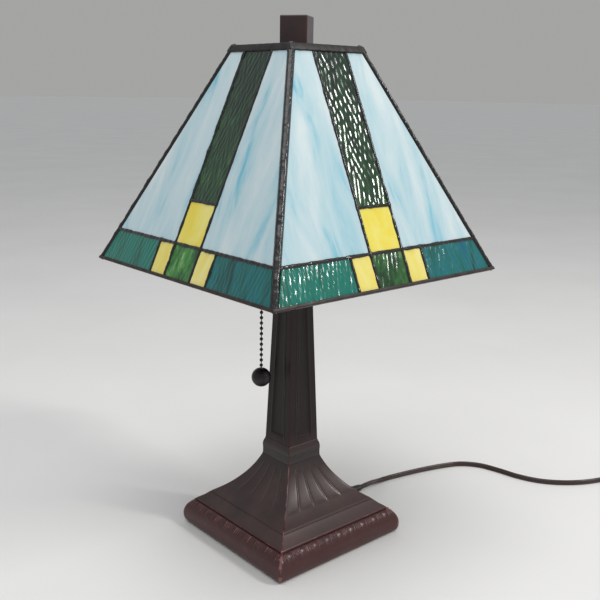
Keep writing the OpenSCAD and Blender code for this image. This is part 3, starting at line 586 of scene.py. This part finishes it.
corner_half_angle = math.acos(-math.cos(slope)**2) / 2
SEAM_INSET = (PANEL_T / 2 / math.tan(corner_half_angle) + SEAM_R) * 1.02


def up_slope(z):
    """Distance up the slope of a pane's top edge at height z, measured on the glass's face."""
    return (z - shade_z + glass_under) / math.sin(slope) + PANE_GAP


band_h = up_slope(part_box("glass_teal_front")[1].z)
block_top = up_slope(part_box("glass_yellow_front")[1].z)
strip_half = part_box("glass_green_front")[1].x + PANE_GAP
pane_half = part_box("glass_yellow_front")[1].x + PANE_GAP
print(f"slope {math.degrees(slope):.2f} deg, panel {panel_h:.4f} m, band {band_h:.4f}, "
      f"block {block_top:.4f}, strip {strip_half:.4f}, pane {pane_half:.4f}")


def on_side(k, u, v, w):
    """Places panel coordinates on side k."""
    return turned_to_side(k, u, -shade_half + v * math.cos(slope) - w * math.sin(slope),
                          shade_z + v * math.sin(slope) + w * math.cos(slope))


def panel_edge(v):
    """Half width of the glass at v, where it meets the corner seam."""
    return shade_half - v * math.cos(slope) - SEAM_INSET


# %% [markdown]
# ## Glass
# The panes are rolled art glass. The blue and yellow panes are almost flat, with soft streaks
# in the glass itself. The green and teal panes are rippled on their face, and those ripples
# give the long white glints, so they are real relief: a sum of sine waves that run up the
# slope. Each pane is a closed slab: two grids, and a wall that joins their borders.


# %% Pane helper
def pane(shell, k, left, right, v0, v1, pitch, height, seed, drift, tone):
    """A slab of glass. left and right give the pane's edges at each v; height(u, v) is the relief
    of its front face, and it fades out at the border, under the lead. drift shifts the streaks.
    tone is how light the glass is at the foot and at the head of the pane, and goes where other
    pieces keep their wear."""
    rows_n = max(4, int((v1 - v0) / pitch))
    v = np.linspace(v0 + PANE_GAP, v1 - PANE_GAP, rows_n)[:, None]
    l, r = left(v) + PANE_GAP, right(v) - PANE_GAP
    cols_n = max(4, int(np.max(r - l) / pitch))
    s = np.linspace(0, 1, cols_n)[None, :]
    u = l + (r - l) * s
    v = v + 0 * u
    rim = np.minimum(np.minimum(u - l, r - u), np.minimum(v - v[0, 0], v[-1, 0] - v))
    fade = smoothstep(0, 1.2 * mm, rim)
    front = on_side(k, u, v, -CAME_FLANGE - GLASS_PLAY + height(u, v, seed) * fade)
    back = on_side(k, u, v, -CAME_FLANGE - GLASS_T + GLASS_PLAY + 0 * u)
    n, m = u.shape
    count = n * m
    faces = grid_faces(n, m, wrap_cols=False)
    ring = np.concatenate([np.arange(m), np.arange(1, n) * m + m - 1, (n - 1) * m + np.arange(m - 2, -1, -1),
                           np.arange(n - 2, 0, -1) * m])
    after = np.roll(ring, -1)
    wall = np.stack([ring + count, after + count, after, ring], -1)
    uv = np.stack([u + SHIFT_U * k + drift, v + SHIFT_V * k], -1).reshape(-1, 2)
    shade_of = (tone[0] + (tone[1] - tone[0]) * (v - v0) / (v1 - v0)).reshape(-1)
    shell.add(np.concatenate([front.reshape(-1, 3), back.reshape(-1, 3)]),
              np.concatenate([faces, faces[:, ::-1] + count, wall]), np.concatenate([uv, uv]),
              np.concatenate([shade_of, shade_of]))


def rippled(u, v, seed):
    """Ripples 3 to 7 mm apart and four times as long, 0.4 mm high, with finer ones on top."""
    coarse = waves(u, v, 3.0 * mm, 11 * mm, 30, seed)
    fine = waves(u, v, 1.6 * mm, 5 * mm, 14, seed + 50)
    return 0.2 * mm * np.tanh(1.4 * coarse) + 0.025 * mm * fine


def nearly_flat(u, v, seed):
    """A slow swell of rolled glass, a few hundredths of a millimetre high."""
    return 0.05 * mm * waves(u, v, 14 * mm, 30 * mm, 10, seed)


# %% Panes
def at(value):
    """A pane's upright edge, the same at each v."""
    return lambda v: value + 0 * v


def seam_left(v):
    return -panel_edge(v)


SIDES = ("front", "right", "back", "left")
BOTTOM_RIM_H = (bottom_high.z - shade_z - RIM_PROUD * math.cos(slope)) / math.sin(slope)
GLASS_LOW, GLASS_HIGH = BOTTOM_RIM_H - 1.6 * mm, strip_top + 2.8 * mm
RIPPLE_GRID, FLAT_GRID = 0.72 * mm, 2.2 * mm
TONES = {"blue": [(0, 0.15), (0.1, 0)], "green": [(0.2, 0), (0.4, 0.4)],
         "yellow": [(0, 0), (0.4, 0.4), (0.5, 0.5)], "teal": [(0.6, 0.6), (0.2, 0.2)]}
SQUARE_TONE = (0.4, 0.8, 0.6, 1.0)  # of the green square below, which differs from side to side
glass_pieces = {}
for k, side in enumerate(SIDES):
    kinds = {
        "blue": [(seam_left, at(-strip_half), band_h, GLASS_HIGH),
                 (at(strip_half), panel_edge, band_h, GLASS_HIGH)],
        "green": [(at(-strip_half), at(strip_half), block_top, GLASS_HIGH),
                  (at(-strip_half), at(strip_half), GLASS_LOW, band_h)],
        "yellow": [(at(-strip_half), at(strip_half), band_h, block_top),
                   (at(-pane_half), at(-strip_half), GLASS_LOW, band_h),
                   (at(strip_half), at(pane_half), GLASS_LOW, band_h)],
        "teal": [(seam_left, at(-pane_half), GLASS_LOW, band_h),
                 (at(pane_half), panel_edge, GLASS_LOW, band_h)]}
    for kind, panes in kinds.items():
        shell = Shells()
        grid, face = (RIPPLE_GRID, rippled) if kind in ("green", "teal") else (FLAT_GRID, nearly_flat)
        for i, (left, right_edge, v0, v1) in enumerate(panes):
            tone = (SQUARE_TONE[k],) * 2 if (kind, i) == ("green", 1) else TONES[kind][i]
            seed = 10 * k + 3 * i + len(kind)
            pane(shell, k, left, right_edge, v0, v1, grid, face, seed, 0.11 * i, tone)
        glass_pieces[kind, side] = shell.object(f"{kind}_glass_{side}", 50)

# %% [markdown]
# ## Lead lines and corner seams
# Between the panes runs lead, tinned over with solder and darkened. By hand it comes out
# lumpy, with a bright speck on every lump. A plain bar would look machined, so each line is a
# rounded bar whose width and height swell at random along its length, with a small blob where
# two lines meet. The corner seams are made the same way, but thicker.


# %% Solder helpers
LEAD_STEP, SEAM_STEP, BLOB = 1.1 * mm, 1.2 * mm, 2.2 * mm
LEAD_ROUND, SEAM_ROUND = 16, 22
SWAY, GRAIN = 0.06 * mm, 0.035 * mm


def lumpy(length, pitch, seed, rough=1.0):
    """Random swelling along a soldered line: short and long sine waves added, about 0 +- 1."""
    x = np.arange(0, length + pitch / 2, pitch)
    draw = np.random.default_rng(seed)
    total = np.zeros_like(x)
    for _ in range(16):
        total += np.sin(2 * math.pi * x / (draw.uniform(4, 34) * mm) + draw.uniform(0, 6.28))
    return x, rough * total / 3


def lead_line(shell, k, start, end, half_w, seed, rough, blobs=()):
    """A bar along a panel from start to end, both (u, v): a soft-cornered outline that follows
    the glass on both faces, swelling at the blobs, which are distances along it."""
    start, end = np.array(start), np.array(end)
    length = np.linalg.norm(end - start)
    x, swell = lumpy(length, LEAD_STEP, seed, rough)
    joint = sum((np.exp(-((x - b) / BLOB)**2) for b in blobs), np.zeros_like(x))
    _, sway = lumpy(length, LEAD_STEP, seed + 500, rough)
    way = (end - start) / length
    across = np.array([way[1], -way[0]])
    ring = rounded_box_ring(1, 1, LEAD_ROUND, 2.6)
    wide = half_w * (1 + 0.05 * swell + 0.2 * joint)
    tall = PANEL_T / 2 + (0.12 * swell + 0.28 * joint) * mm
    tall[[0, -1]] *= 0.9
    u, v = ((start[i] + way[i] * x + across[i] * sway * SWAY)[:, None] + across[i] * wide[:, None] * ring[:, 0]
            for i in (0, 1))
    small = np.random.default_rng(seed + 900).normal(0, GRAIN, (len(x), LEAD_ROUND))
    w = -PANEL_T / 2 + tall[:, None] * ring[:, 1] + small
    lumps = np.broadcast_to(np.clip(0.5 + 0.3 * swell + joint, 0, 1)[:, None], w.shape)
    shell.tube(on_side(k, u, v, w)[:, ::-1], np.stack([u + k * SHIFT_U, v], -1), lumps)


# %% Lead lines
low_v, high_v = BOTTOM_RIM_H - 0.8 * mm, strip_top + 1 * mm
half = CAME_WIDTH / 2
reach = panel_edge(band_h) + 1 * mm
crossings = [reach + sign * line for line in (strip_half, pane_half) for sign in (-1, 1)]
lead_pieces = {}
for k, side in enumerate(SIDES):
    shell = Shells()
    for sign in (-1, 1):
        strip, block = sign * strip_half, sign * pane_half
        seed = 100 * k + 7 * sign
        lead_line(shell, k, (strip, low_v), (strip, high_v), half, seed + 20, 1.15,
                  (band_h - low_v, block_top - low_v))
        lead_line(shell, k, (block, low_v), (block, band_h), half * 0.95, seed + 40, 1.1, (band_h - low_v,))
    lead_line(shell, k, (-reach, band_h), (reach, band_h), half, 100 * k + 60, 1.15, crossings)
    lead_line(shell, k, (-strip_half, block_top), (strip_half, block_top), half * 0.9, 100 * k + 80, 1.1)
    lead_pieces[side] = shell.object(f"lead_lines_{side}", 60)

# %% Corner seams
depth = PANEL_T / 2 / math.sin(slope)
seam_foot, seam_head = shade_half - depth, shade_half - panel_h * math.cos(slope) - depth
foot = np.array([-seam_foot, -seam_foot, shade_z])
head = np.array([-seam_head, -seam_head, shade_z + panel_h * math.sin(slope)])
way = (head - foot) / np.linalg.norm(head - foot)
foot, head = foot - 1.4 * mm * way, head + 0.2 * mm * way
length = np.linalg.norm(head - foot)
out = np.array([-1, -1, 0.0]) / math.sqrt(2)
out = out - way * (out @ way)
out /= np.linalg.norm(out)
ring = rounded_box_ring(1, 1, SEAM_ROUND, 2.5)
shell = Shells()
for k in range(4):
    x, swell = lumpy(length, SEAM_STEP, 300 + k)
    _, twist = lumpy(length, SEAM_STEP, 340 + k)
    near_end = 1 - np.clip(np.minimum(x, length - x) / (1.8 * mm), 0, 1)
    ends = np.sqrt(np.clip(1 - near_end**2, 0.12, 1))
    small = 1 + np.random.default_rng(360 + k).normal(0, 0.02, (len(x), SEAM_ROUND))
    wide = (SEAM_R * (0.98 + 0.035 * swell) * ends)[:, None] * ring[:, 0] * small
    tall = (SEAM_R * (0.9 + 0.05 * twist) * ends)[:, None] * ring[:, 1] * small
    rings = (foot + way * x[:, None])[:, None] + wide[..., None] * np.cross(way, out) + tall[..., None] * out
    lumps = np.broadcast_to(np.clip(0.5 + 0.25 * swell, 0, 1)[:, None], small.shape)
    uv = np.stack(np.broadcast_arrays(x[:, None], np.arange(SEAM_ROUND)[None] / SEAM_ROUND), -1)
    shell.tube(turned_to_side(k, *np.moveaxis(rings, -1, 0)), uv, lumps)
seams = shell.object("soldered_corners", 60)

# %% [markdown]
# ## Rims of the shade
# The glass stands in a channel at its lower edge and is capped by one at the top. They are
# folded strip metal with soft edges, mitred at the corners, so the square moulding serves
# again. The top one is soldered over, which shows as slow lumps.


# %% Rims
RIM_CORNER = 1.2 * mm


def rim_profile(v0, v1):
    """A rounded rectangle across the panel's edge, in (half width, height) coordinates."""
    ring = rounded_box_ring(PANEL_T / 2 + RIM_PROUD, (v1 - v0) / 2, 28, 7)
    w, v = -PANEL_T / 2 + ring[:, 0], (v0 + v1) / 2 + ring[:, 1]
    return np.stack([shade_half - v * math.cos(slope) + w * math.sin(slope),
                     shade_z + v * math.sin(slope) + w * math.cos(slope)], -1)


bottom_rim = moulded("bottom_channel", 60, rim_profile(0, BOTTOM_RIM_H), RIM_CORNER, 90,
                     lambda u, x, row: 0.06 * mm * waves(x, row * mm, 9 * mm, 40 * mm, 10, 5))
top_rim = moulded("top_channel", 60, rim_profile(strip_top, panel_h), RIM_CORNER, 60,
                  lambda u, x, row: 0.09 * mm * waves(x, row * mm, 7 * mm, 9 * mm, 16, 8))

# %% [markdown]
# ## Finial
# The finial is a cast cube with small soft edges, screwed on the harp's stud. A cube with a
# bevel modifier would do, but the same result comes from one formula: push every point of a
# cube's surface in to a smaller cube, and then out again by the edge radius.


# %% Finial
def rounded_cube(half, radius, steps, turn, centre):
    """Six grids of a cube; each point q becomes c + r (q - c) / |q - c|, where c is q held inside
    the smaller cube. Gives the points, the faces and how close each point is to an edge."""
    flat = 1 - 2.5 * radius / min(half)
    ticks = np.concatenate([np.linspace(-1, -flat, 6)[:-1], np.linspace(-flat, flat, steps),
                            np.linspace(flat, 1, 6)[1:]])
    a, b = np.meshgrid(ticks, ticks, indexing="ij")
    points, faces = [], []
    quads = grid_faces(len(ticks), len(ticks), wrap_cols=False)
    for axis in range(3):
        for sign in (-1, 1):
            q = np.zeros((*a.shape, 3))
            q[..., axis] = sign
            q[..., (axis + 1) % 3], q[..., (axis + 2) % 3] = a, b
            points.append((q * half).reshape(-1, 3))
            faces.append((quads if sign > 0 else quads[:, ::-1]) + (len(points) - 1) * a.size)
    q = np.concatenate(points)
    core = np.clip(q, -(half - radius), half - radius)
    away = q - core
    away /= np.maximum(np.linalg.norm(away, axis=1), 1e-12)[:, None]
    q = core + radius * away
    edge = np.sort(np.abs(q) / half, axis=1)[:, 1]
    places = np.round(q / 1e-7).astype(np.int64)
    _, first, back = np.unique(places, axis=0, return_index=True, return_inverse=True)
    q, edge = q[first], edge[first]
    faces = back.reshape(-1)[np.concatenate(faces)]
    c, s = math.cos(turn), math.sin(turn)
    placed = np.stack([q[:, 0] * c - q[:, 1] * s, q[:, 0] * s + q[:, 1] * c, q[:, 2]], -1) + centre
    return placed, faces[:, ::-1], smoothstep(0.93, 1.0, edge)


finial_low, finial_high = corners("finial")
FINIAL_TURN, FINIAL_EDGE = math.radians(34.6), 1.1 * mm
box_half = (finial_high - finial_low) / 2
finial_half = box_half[0] / (math.cos(FINIAL_TURN) + math.sin(FINIAL_TURN)) * 1.02
cube_half = np.array([finial_half, finial_half, box_half[2]])
points, faces, edges = rounded_cube(cube_half, FINIAL_EDGE, 10, FINIAL_TURN, (finial_low + finial_high) / 2)
shell = Shells()
shell.add(points, faces, points[:, :2], edges * 0.45)
finial = shell.object("painted_finial", 42)

# %% [markdown]
# ## Materials
# Every finish is built from a few nodes on a Principled shader. A small helper makes a node,
# sets its inputs and links what is given as a socket, so that each material reads as a recipe.


# %% Material helpers
MIX_A, MIX_B, MIX_OUT = 6, 7, 2  # where a Mix node has its colours


class Recipe:
    """A node tree with one Principled shader. add() makes a node: a number or colour sets an
    input, and a socket is linked to it."""

    def __init__(self, name, **settings):
        self.material = bpy.data.materials.new(name)
        self.material.use_nodes = True
        self.tree = self.material.node_tree
        self.shader = self.tree.nodes["Principled BSDF"]
        self.fill(self.shader, settings)

    def fill(self, node, settings):
        for key, value in settings.items():
            socket = node.inputs[key.replace("_", " ") if isinstance(key, str) else key]
            if isinstance(value, bpy.types.NodeSocket):
                self.tree.links.new(value, socket)
            elif socket.type == "RGBA" and len(value) == 3:
                socket.default_value = (*value, 1)
            else:
                socket.default_value = value

    def add(self, kind, out=0, inputs=None, **options):
        node = self.tree.nodes.new("ShaderNode" + kind)
        for key, value in options.items():
            setattr(node, key, value)
        self.fill(node, inputs or {})
        return node.outputs[out]

    def set(self, **settings):
        self.fill(self.shader, settings)

    def place(self, scale=(1, 1, 1), source="Object"):
        """Coordinates in metres, stretched by scale; source is Object or UV."""
        socket = self.add("TexCoord", source)
        return self.add("Mapping", 0, {"Vector": socket, "Scale": scale})

    def noise(self, where, scale, detail=3.0, roughness=0.55, distortion=0.0):
        return self.add("TexNoise", "Fac", {"Vector": where, "Scale": scale, "Detail": detail,
                                            "Roughness": roughness, "Distortion": distortion})

    def ramp(self, value, *stops):
        """Colour from value: each stop is (position, colour)."""
        node = self.tree.nodes.new("ShaderNodeValToRGB")
        self.tree.links.new(value, node.inputs[0])
        while len(node.color_ramp.elements) < len(stops):
            node.color_ramp.elements.new(0.5)
        for element, (position, colour) in zip(node.color_ramp.elements, stops):
            element.position, element.color = position, (*colour, 1)
        return node.outputs[0]

    def span(self, value, low, high, to_low, to_high):
        """Maps value from low..high to to_low..to_high."""
        return self.add("MapRange", 0, {"Value": value, "From Min": low, "From Max": high,
                                        "To Min": to_low, "To Max": to_high})

    def mix(self, factor, a, b):
        node = self.tree.nodes.new("ShaderNodeMix")
        node.data_type = "RGBA"
        for index, value in ((0, factor), (MIX_A, a), (MIX_B, b)):
            if isinstance(value, bpy.types.NodeSocket):
                self.tree.links.new(value, node.inputs[index])
            else:
                node.inputs[index].default_value = (*value, 1) if index else value
        return node.outputs[MIX_OUT]

    def bump(self, height, distance, strength=1.0):
        self.set(Normal=self.add("Bump", 0, {"Height": height, "Distance": distance, "Strength": strength}))

    def wear(self):
        return self.add("Attribute", "Fac", attribute_name="wear")


def srgb(r, g, b):
    """A colour given as 0 to 255 values on a screen, in the linear light that shaders use."""
    return tuple((v / 255 / 12.92) if v <= 10 else ((v / 255 + 0.055) / 1.055)**2.4 for v in (r, g, b))


# %% [markdown]
# ## Bronze paint
# The castings are sprayed dark mahogany bronze. Rubbing through the wet top coat leaves copper
# on every raised edge, and the coat itself is slightly cloudy and orange-peeled. Edges could be
# found by a pointiness node, but the wear values that the mouldings carry are surer, and noise
# breaks them up.


# %% Bronze paint
# Painted shade: the heights, in metres, between which a darker colour is mixed into the bronze, and its share
# at steps between them, for the band under the collar's bead and the column in the lampshade's shadow.
PAINTED_SHADE_LOW, PAINTED_SHADE_HIGH = 0.06, 0.14
PAINTED_SHADE_STEPS = (0.0, 0), (0.2, 0.7), (0.29, 1), (0.36, 0.5), (0.42, 0.45), (0.6, 1)


def bronze_paint(name, dark, light, copper, red, painted_shade=None, gloss=0.5, coat=0.2):
    """dark and light cloud the top coat. Little wear shows the red coat below it, and full wear
    shows copper. The last colour is painted shade: it darkens the band under the collar's bead, which
    faces down, and the column, which stands in the lampshade's shadow, in steps set by height."""
    m = Recipe(name, Metallic=0.1)
    where = m.place()
    cloud = m.noise(where, 26, 4, 0.6)
    fine = m.noise(where, 420, 3, 0.6)
    body = m.ramp(cloud, (0.35, dark), (0.7, light))
    if painted_shade:
        height = m.add("SeparateXYZ", "Z", {"Vector": where})
        steps = [(place, (share,) * 3) for place, share in PAINTED_SHADE_STEPS]
        share = m.ramp(m.span(height, PAINTED_SHADE_LOW, PAINTED_SHADE_HIGH, 0.0, 1.0), *steps)
        body = m.mix(share, body, painted_shade)
    worn = m.add("Math", 0, {0: m.wear(), 1: m.span(m.noise(where, 130, 4, 0.7), 0.35, 0.65, 0.35, 1.2)},
                 operation="MULTIPLY")
    rubbed = m.ramp(fine, (0.3, copper), (0.75, tuple(1.7 * c for c in copper)))
    reddened = m.mix(m.span(worn, 0.05, 0.3, 0.0, 0.85), body, red)
    m.set(Base_Color=m.mix(m.span(worn, 0.5, 0.95, 0.0, 0.8), reddened, rubbed),
          Roughness=m.span(cloud, 0.3, 0.7, 0.44, 0.33), Specular_IOR_Level=gloss, Coat_Weight=coat)
    m.shader.inputs["Coat Roughness"].default_value = 0.2
    m.bump(m.noise(where, 900, 2, 0.5), 0.00006, 0.6)
    return m.material


# %% [markdown]
# ## Solder, rims and small metal parts
# Solder under black patina is near-black and glossy, with bright specks where a lump turns to
# the light. As a metal it would mirror the whole pale sky, so it is a black body under a clear
# coat, which stays dark between the specks. The lower channel is browner and duller. Brass,
# steel, aluminium and cast iron only differ in colour, polish and grain.


# %% Metals
def metal(name, dark, light, rough, grain, metallic=1.0, bump=0.00003, stretch=(1, 1, 1)):
    m = Recipe(name, Metallic=metallic)
    where = m.place(stretch)
    pattern = m.noise(where, grain, 4, 0.6)
    m.set(Base_Color=m.ramp(pattern, (0.3, dark), (0.7, light)),
          Roughness=m.span(pattern, 0.3, 0.7, rough * 1.15, rough * 0.85))
    m.bump(m.noise(where, grain * 4, 2, 0.5), bump)
    return m.material


def solder(name, lumps):
    m = Recipe(name, Specular_IOR_Level=0.3, Coat_Weight=0.5, Coat_Roughness=0.08)
    where = m.place()
    tint = m.ramp(m.noise(where, 160, 4, 0.65),
                  (0.35, srgb(13, 11, 10)), (0.62, srgb(26, 22, 21)), (0.8, srgb(48, 42, 40)))
    m.set(Base_Color=tint, Roughness=m.span(m.noise(where, 60, 3), 0.35, 0.65, 0.2, 0.42))
    m.bump(m.noise(where, 360, 3, 0.6), lumps, 1.0)
    return m.material


# %% [markdown]
# ## Art glass
# Opalescent glass is milky: light scatters inside it, and a thin clear skin gives the gloss.
# A volume would be true to that but slow and noisy, and the lamp is off, so each pane is an
# opaque body colour under a clear coat. Its streaks follow the way the sheet was rolled, which
# is up the slope.


# %% Glass
def streaky_glass(name, stops, across, along, light=None, rough=0.1, warp=0.6, coat=0.4, gloss=0.05):
    """stops colour a noise that is stretched along v: across and along are its scales, and warp
    bends it. Where a pane's tone is up, the colours pass over to those in light. rough is for the
    body and gloss is the roughness of the coat."""
    m = Recipe(name, Roughness=rough, IOR=1.52)
    where = m.place((across, along, 1), "UV")
    bend = m.noise(m.place((9, 6, 1), "UV"), 1.0, 2)
    shift = m.add("CombineXYZ", 0, {0: m.span(bend, 0, 1, -warp, warp)})
    shifted = m.add("VectorMath", 0, {0: where, 1: shift}, operation="ADD")
    streaks = m.noise(shifted, 1.0, 5, 0.58, 0.5)
    colour = m.ramp(streaks, *stops)
    if light:
        colour = m.mix(m.wear(), colour, m.ramp(streaks, *light))
    m.set(Base_Color=colour, Specular_IOR_Level=0.35, Coat_Weight=coat, Coat_Roughness=gloss)
    return m.material


def shades(*stops):
    """Colour stops from (position, red, green, blue) with screen values."""
    return [(place, srgb(*colour)) for place, *colour in stops]


glass_materials = {
    "blue": streaky_glass(
        "sky blue opal glass", shades((0.28, 214, 224, 225), (0.45, 192, 212, 217), (0.57, 176, 205, 213),
                                      (0.67, 128, 188, 206), (0.78, 80, 162, 192)), 46, 9, coat=0.3),
    "green": streaky_glass(
        "bottle green ripple glass", shades((0.3, 4, 26, 16), (0.55, 7, 40, 24), (0.75, 12, 58, 32)), 100, 44,
        shades((0.32, 10, 70, 18), (0.48, 28, 100, 32), (0.6, 70, 138, 60), (0.72, 146, 188, 120)),
        0.15, gloss=0.16),
    "yellow": streaky_glass(
        "yellow opal glass", shades((0.3, 234, 226, 140), (0.5, 232, 216, 90), (0.7, 226, 202, 44)), 50, 20,
        shades((0.3, 238, 232, 176), (0.7, 230, 214, 120))),
    "teal": streaky_glass(
        "teal ripple glass",
        shades((0.3, 0, 48, 56), (0.44, 0, 88, 90), (0.57, 0, 100, 114), (0.72, 0, 80, 122)),
        90, 14, shades((0.3, 0, 80, 64), (0.5, 0, 118, 88), (0.75, 6, 124, 70)), 0.15, 0.9, gloss=0.16)}

# %% [markdown]
# ## Felt, plastic, fibre and cord cover
# These soft or moulded finishes are dull. What makes them read is their grain: matted fibres
# on the felt, a fine orange peel on the moulded plug, and a faint length-wise drag on the cord.


# %% Dull finishes, and the list of all finishes
def dull(name, dark, light, rough, grain, bump, source="Object", stretch=(1, 1, 1)):
    m = Recipe(name)
    where = m.place(stretch, source)
    pattern = m.noise(where, grain, 4, 0.65)
    m.set(Base_Color=m.ramp(pattern, (0.3, dark), (0.7, light)),
          Roughness=m.span(pattern, 0.3, 0.7, rough * 0.92, min(rough * 1.08, 1)))
    m.bump(m.noise(where, grain * 3, 3), bump)
    return m.material


# The fifth colour is painted shade, for the band under the collar's bead and for the column.
PAINT = srgb(50, 32, 30), srgb(72, 49, 46), srgb(132, 90, 88), srgb(66, 16, 15), srgb(28, 16, 16)
bronze = bronze_paint("bronze paint", *PAINT, coat=0.15)
column_bronze = bronze_paint("column bronze paint", *PAINT, gloss=0.3, coat=0.0)
red_bronze = bronze_paint("red bronze paint", srgb(46, 27, 27), srgb(64, 38, 37), srgb(150, 104, 100),
                          srgb(84, 40, 38))
solder_finish = solder("patinated solder", 0.25 * mm)
seam_finish = solder("thick patinated solder", 0.75 * mm)
channel_metal = metal("brown channel metal", srgb(38, 32, 30), srgb(66, 57, 54), 0.45, 120, 0.4)
cap_metal = metal("black capping metal", srgb(24, 22, 21), srgb(44, 41, 39), 0.4, 150, 0.3, 0.00006)
chain_metal = metal("black beads", srgb(16, 13, 12), srgb(30, 24, 23), 0.4, 300, 0.2)
brass = metal("lacquered brass", srgb(150, 112, 52), srgb(196, 156, 84), 0.28, 90)
steel = metal("zinc plated steel", srgb(128, 130, 132), srgb(176, 178, 180), 0.36, 160)
aluminium = metal("spun aluminium", srgb(170, 172, 174), srgb(206, 208, 210), 0.3, 200, stretch=(1, 1, 8))
cast_iron = metal("cast iron", srgb(48, 46, 46), srgb(78, 76, 74), 0.62, 260, 0.8, 0.0002)
felt = dull("black felt", srgb(16, 15, 15), srgb(40, 38, 38), 0.95, 900, 0.0004)
fibre = dull("fibre liner", srgb(66, 46, 34), srgb(96, 70, 50), 0.8, 300, 0.0001)
plastic = dull("moulded black plastic", srgb(20, 19, 19), srgb(32, 30, 30), 0.42, 500, 0.00005)
cord_cover = dull("brown cord cover", srgb(46, 32, 30), srgb(64, 46, 42), 0.26, 260, 0.00004, "UV", (0.2, 1, 1))
bulb_finish = dull("frosted white bulb", srgb(226, 224, 216), srgb(240, 239, 234), 0.5, 60, 0.00002)
print("materials:", len(bpy.data.materials))


# %% Dress the pieces
def dress(piece, material, body, slot, *replaced):
    """Gives a new piece its one material and its body, and hides the nodes it stands for. slot is not used."""
    piece.data.materials.clear()
    piece.data.materials.append(material)
    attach(piece, body)
    if replaced:
        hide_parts(*replaced)


dress(casting, bronze, "lamp", "bronze_paint", "base_casting")
dress(collar, bronze, "lamp", "bronze_paint", "column_collar")
dress(column, column_bronze, "lamp", "bronze_paint", "column")
dress(finial, red_bronze, "finial", "bronze_paint", "finial")
dress(seams, seam_finish, "shade", "solder", "corner_seams")
dress(bottom_rim, channel_metal, "shade", "rim_metal", "bottom_rim")
dress(top_rim, cap_metal, "shade", "dark_metal", "top_rim")
dress(cord, cord_cover, "lamp", "cord_cover", "cord_run", "cord_coil", "cord_tail")
dress(plug, cord_cover, "lamp", "cord_cover", "plug_body")
dress(relief, plastic, "lamp", "black_plastic", "strain_relief")
for side in SIDES:
    dress(lead_pieces[side], solder_finish, "shade", "solder", f"came_{side}")
    for kind in glass_materials:
        dress(glass_pieces[kind, side], glass_materials[kind], "shade", f"glass_{kind}", f"glass_{kind}_{side}")

kept_nodes = {
    felt: "felt_pad", cast_iron: "base_weight", fibre: "holder_liner", bulb_finish: "bulb_glass",
    steel: "bottom_plate weight_spacer threaded_rod rod_washer", aluminium: "screw_shell bulb_base",
    plastic: "supply_wire switch_body", column_bronze: "column_cap", cap_metal: "shade_cap",
    chain_metal: "pull_link pull_chain pull_ball",
    brass: "rod_nuts harp_saddle holder_cap holder_shell centre_contact chain_outlet harp harp_stud "
           "sleeve_left sleeve_right plug_blades"}
for material, names in kept_nodes.items():
    for name in names.split():
        slots = nodes[name].material_slots
        if not len(slots):
            nodes[name].data.materials.append(material)
        for place in slots:
            place.material = material

# %% [markdown]
# ## Floor and light
# A plain pale floor, a soft sky all round, and two lamps. The window is tall and narrow and
# stands to the right, well beside the place that the front panel mirrors towards the camera, so
# only ripples and lumps that lean that way catch it. The overhead lamp is broad and fills the
# rest. The camera sees a greyer sky than the one that lights the lamp.


# %% Floor and light
def area_light(name, place, target, size, power, colour=(1, 1, 1)):
    data = bpy.data.lights.new(name, "AREA")
    data.shape, data.size, data.size_y = "RECTANGLE", *size
    data.energy, data.color = power, colour
    aim = (Vector(target) - Vector(place)).to_track_quat("-Z", "Y").to_matrix().to_4x4()
    new_object(name, data).matrix_world = Matrix.Translation(place) @ aim


FLOOR = 40.0
floor_mesh = bpy.data.meshes.new("floor")
floor_mesh.from_pydata([(-FLOOR, -FLOOR, 0), (FLOOR, -FLOOR, 0), (FLOOR, FLOOR, 0), (-FLOOR, FLOOR, 0)],
                       [], [(0, 1, 2, 3)])
floor = new_object("floor", floor_mesh)
floor_paint = Recipe("pale floor", Roughness=0.7)
mottle = floor_paint.noise(floor_paint.place(), 3)
floor_paint.set(Base_Color=floor_paint.ramp(mottle, (0.3, (0.76, 0.75, 0.735)), (0.7, (0.8, 0.79, 0.775))))
floor_mesh.materials.append(floor_paint.material)

SKY, BACKDROP, SKY_STRENGTH = (0.86, 0.88, 0.9, 1), (0.68, 0.68, 0.67, 1), 0.55
world = bpy.data.worlds.new("studio")
world.use_nodes = True
sky = world.node_tree.nodes["Background"]
seen = world.node_tree.nodes.new("ShaderNodeLightPath")
tint = world.node_tree.nodes.new("ShaderNodeMix")
tint.data_type = "RGBA"
tint.inputs[MIX_A].default_value, tint.inputs[MIX_B].default_value = SKY, BACKDROP
world.node_tree.links.new(seen.outputs["Is Camera Ray"], tint.inputs[0])
world.node_tree.links.new(tint.outputs[MIX_OUT], sky.inputs["Color"])
sky.inputs["Strength"].default_value = SKY_STRENGTH
bpy.context.scene.world = world
area_light("window", (0.85, -1.40, 1.50), (0, 0, 0.33), (0.12, 0.5), 15, (1, 0.98, 0.95))
area_light("overhead", (-0.3, -0.2, 1.8), (0, 0, 0.1), (1.3, 1.3), 15)
bpy.context.scene.view_settings.view_transform = "Standard"
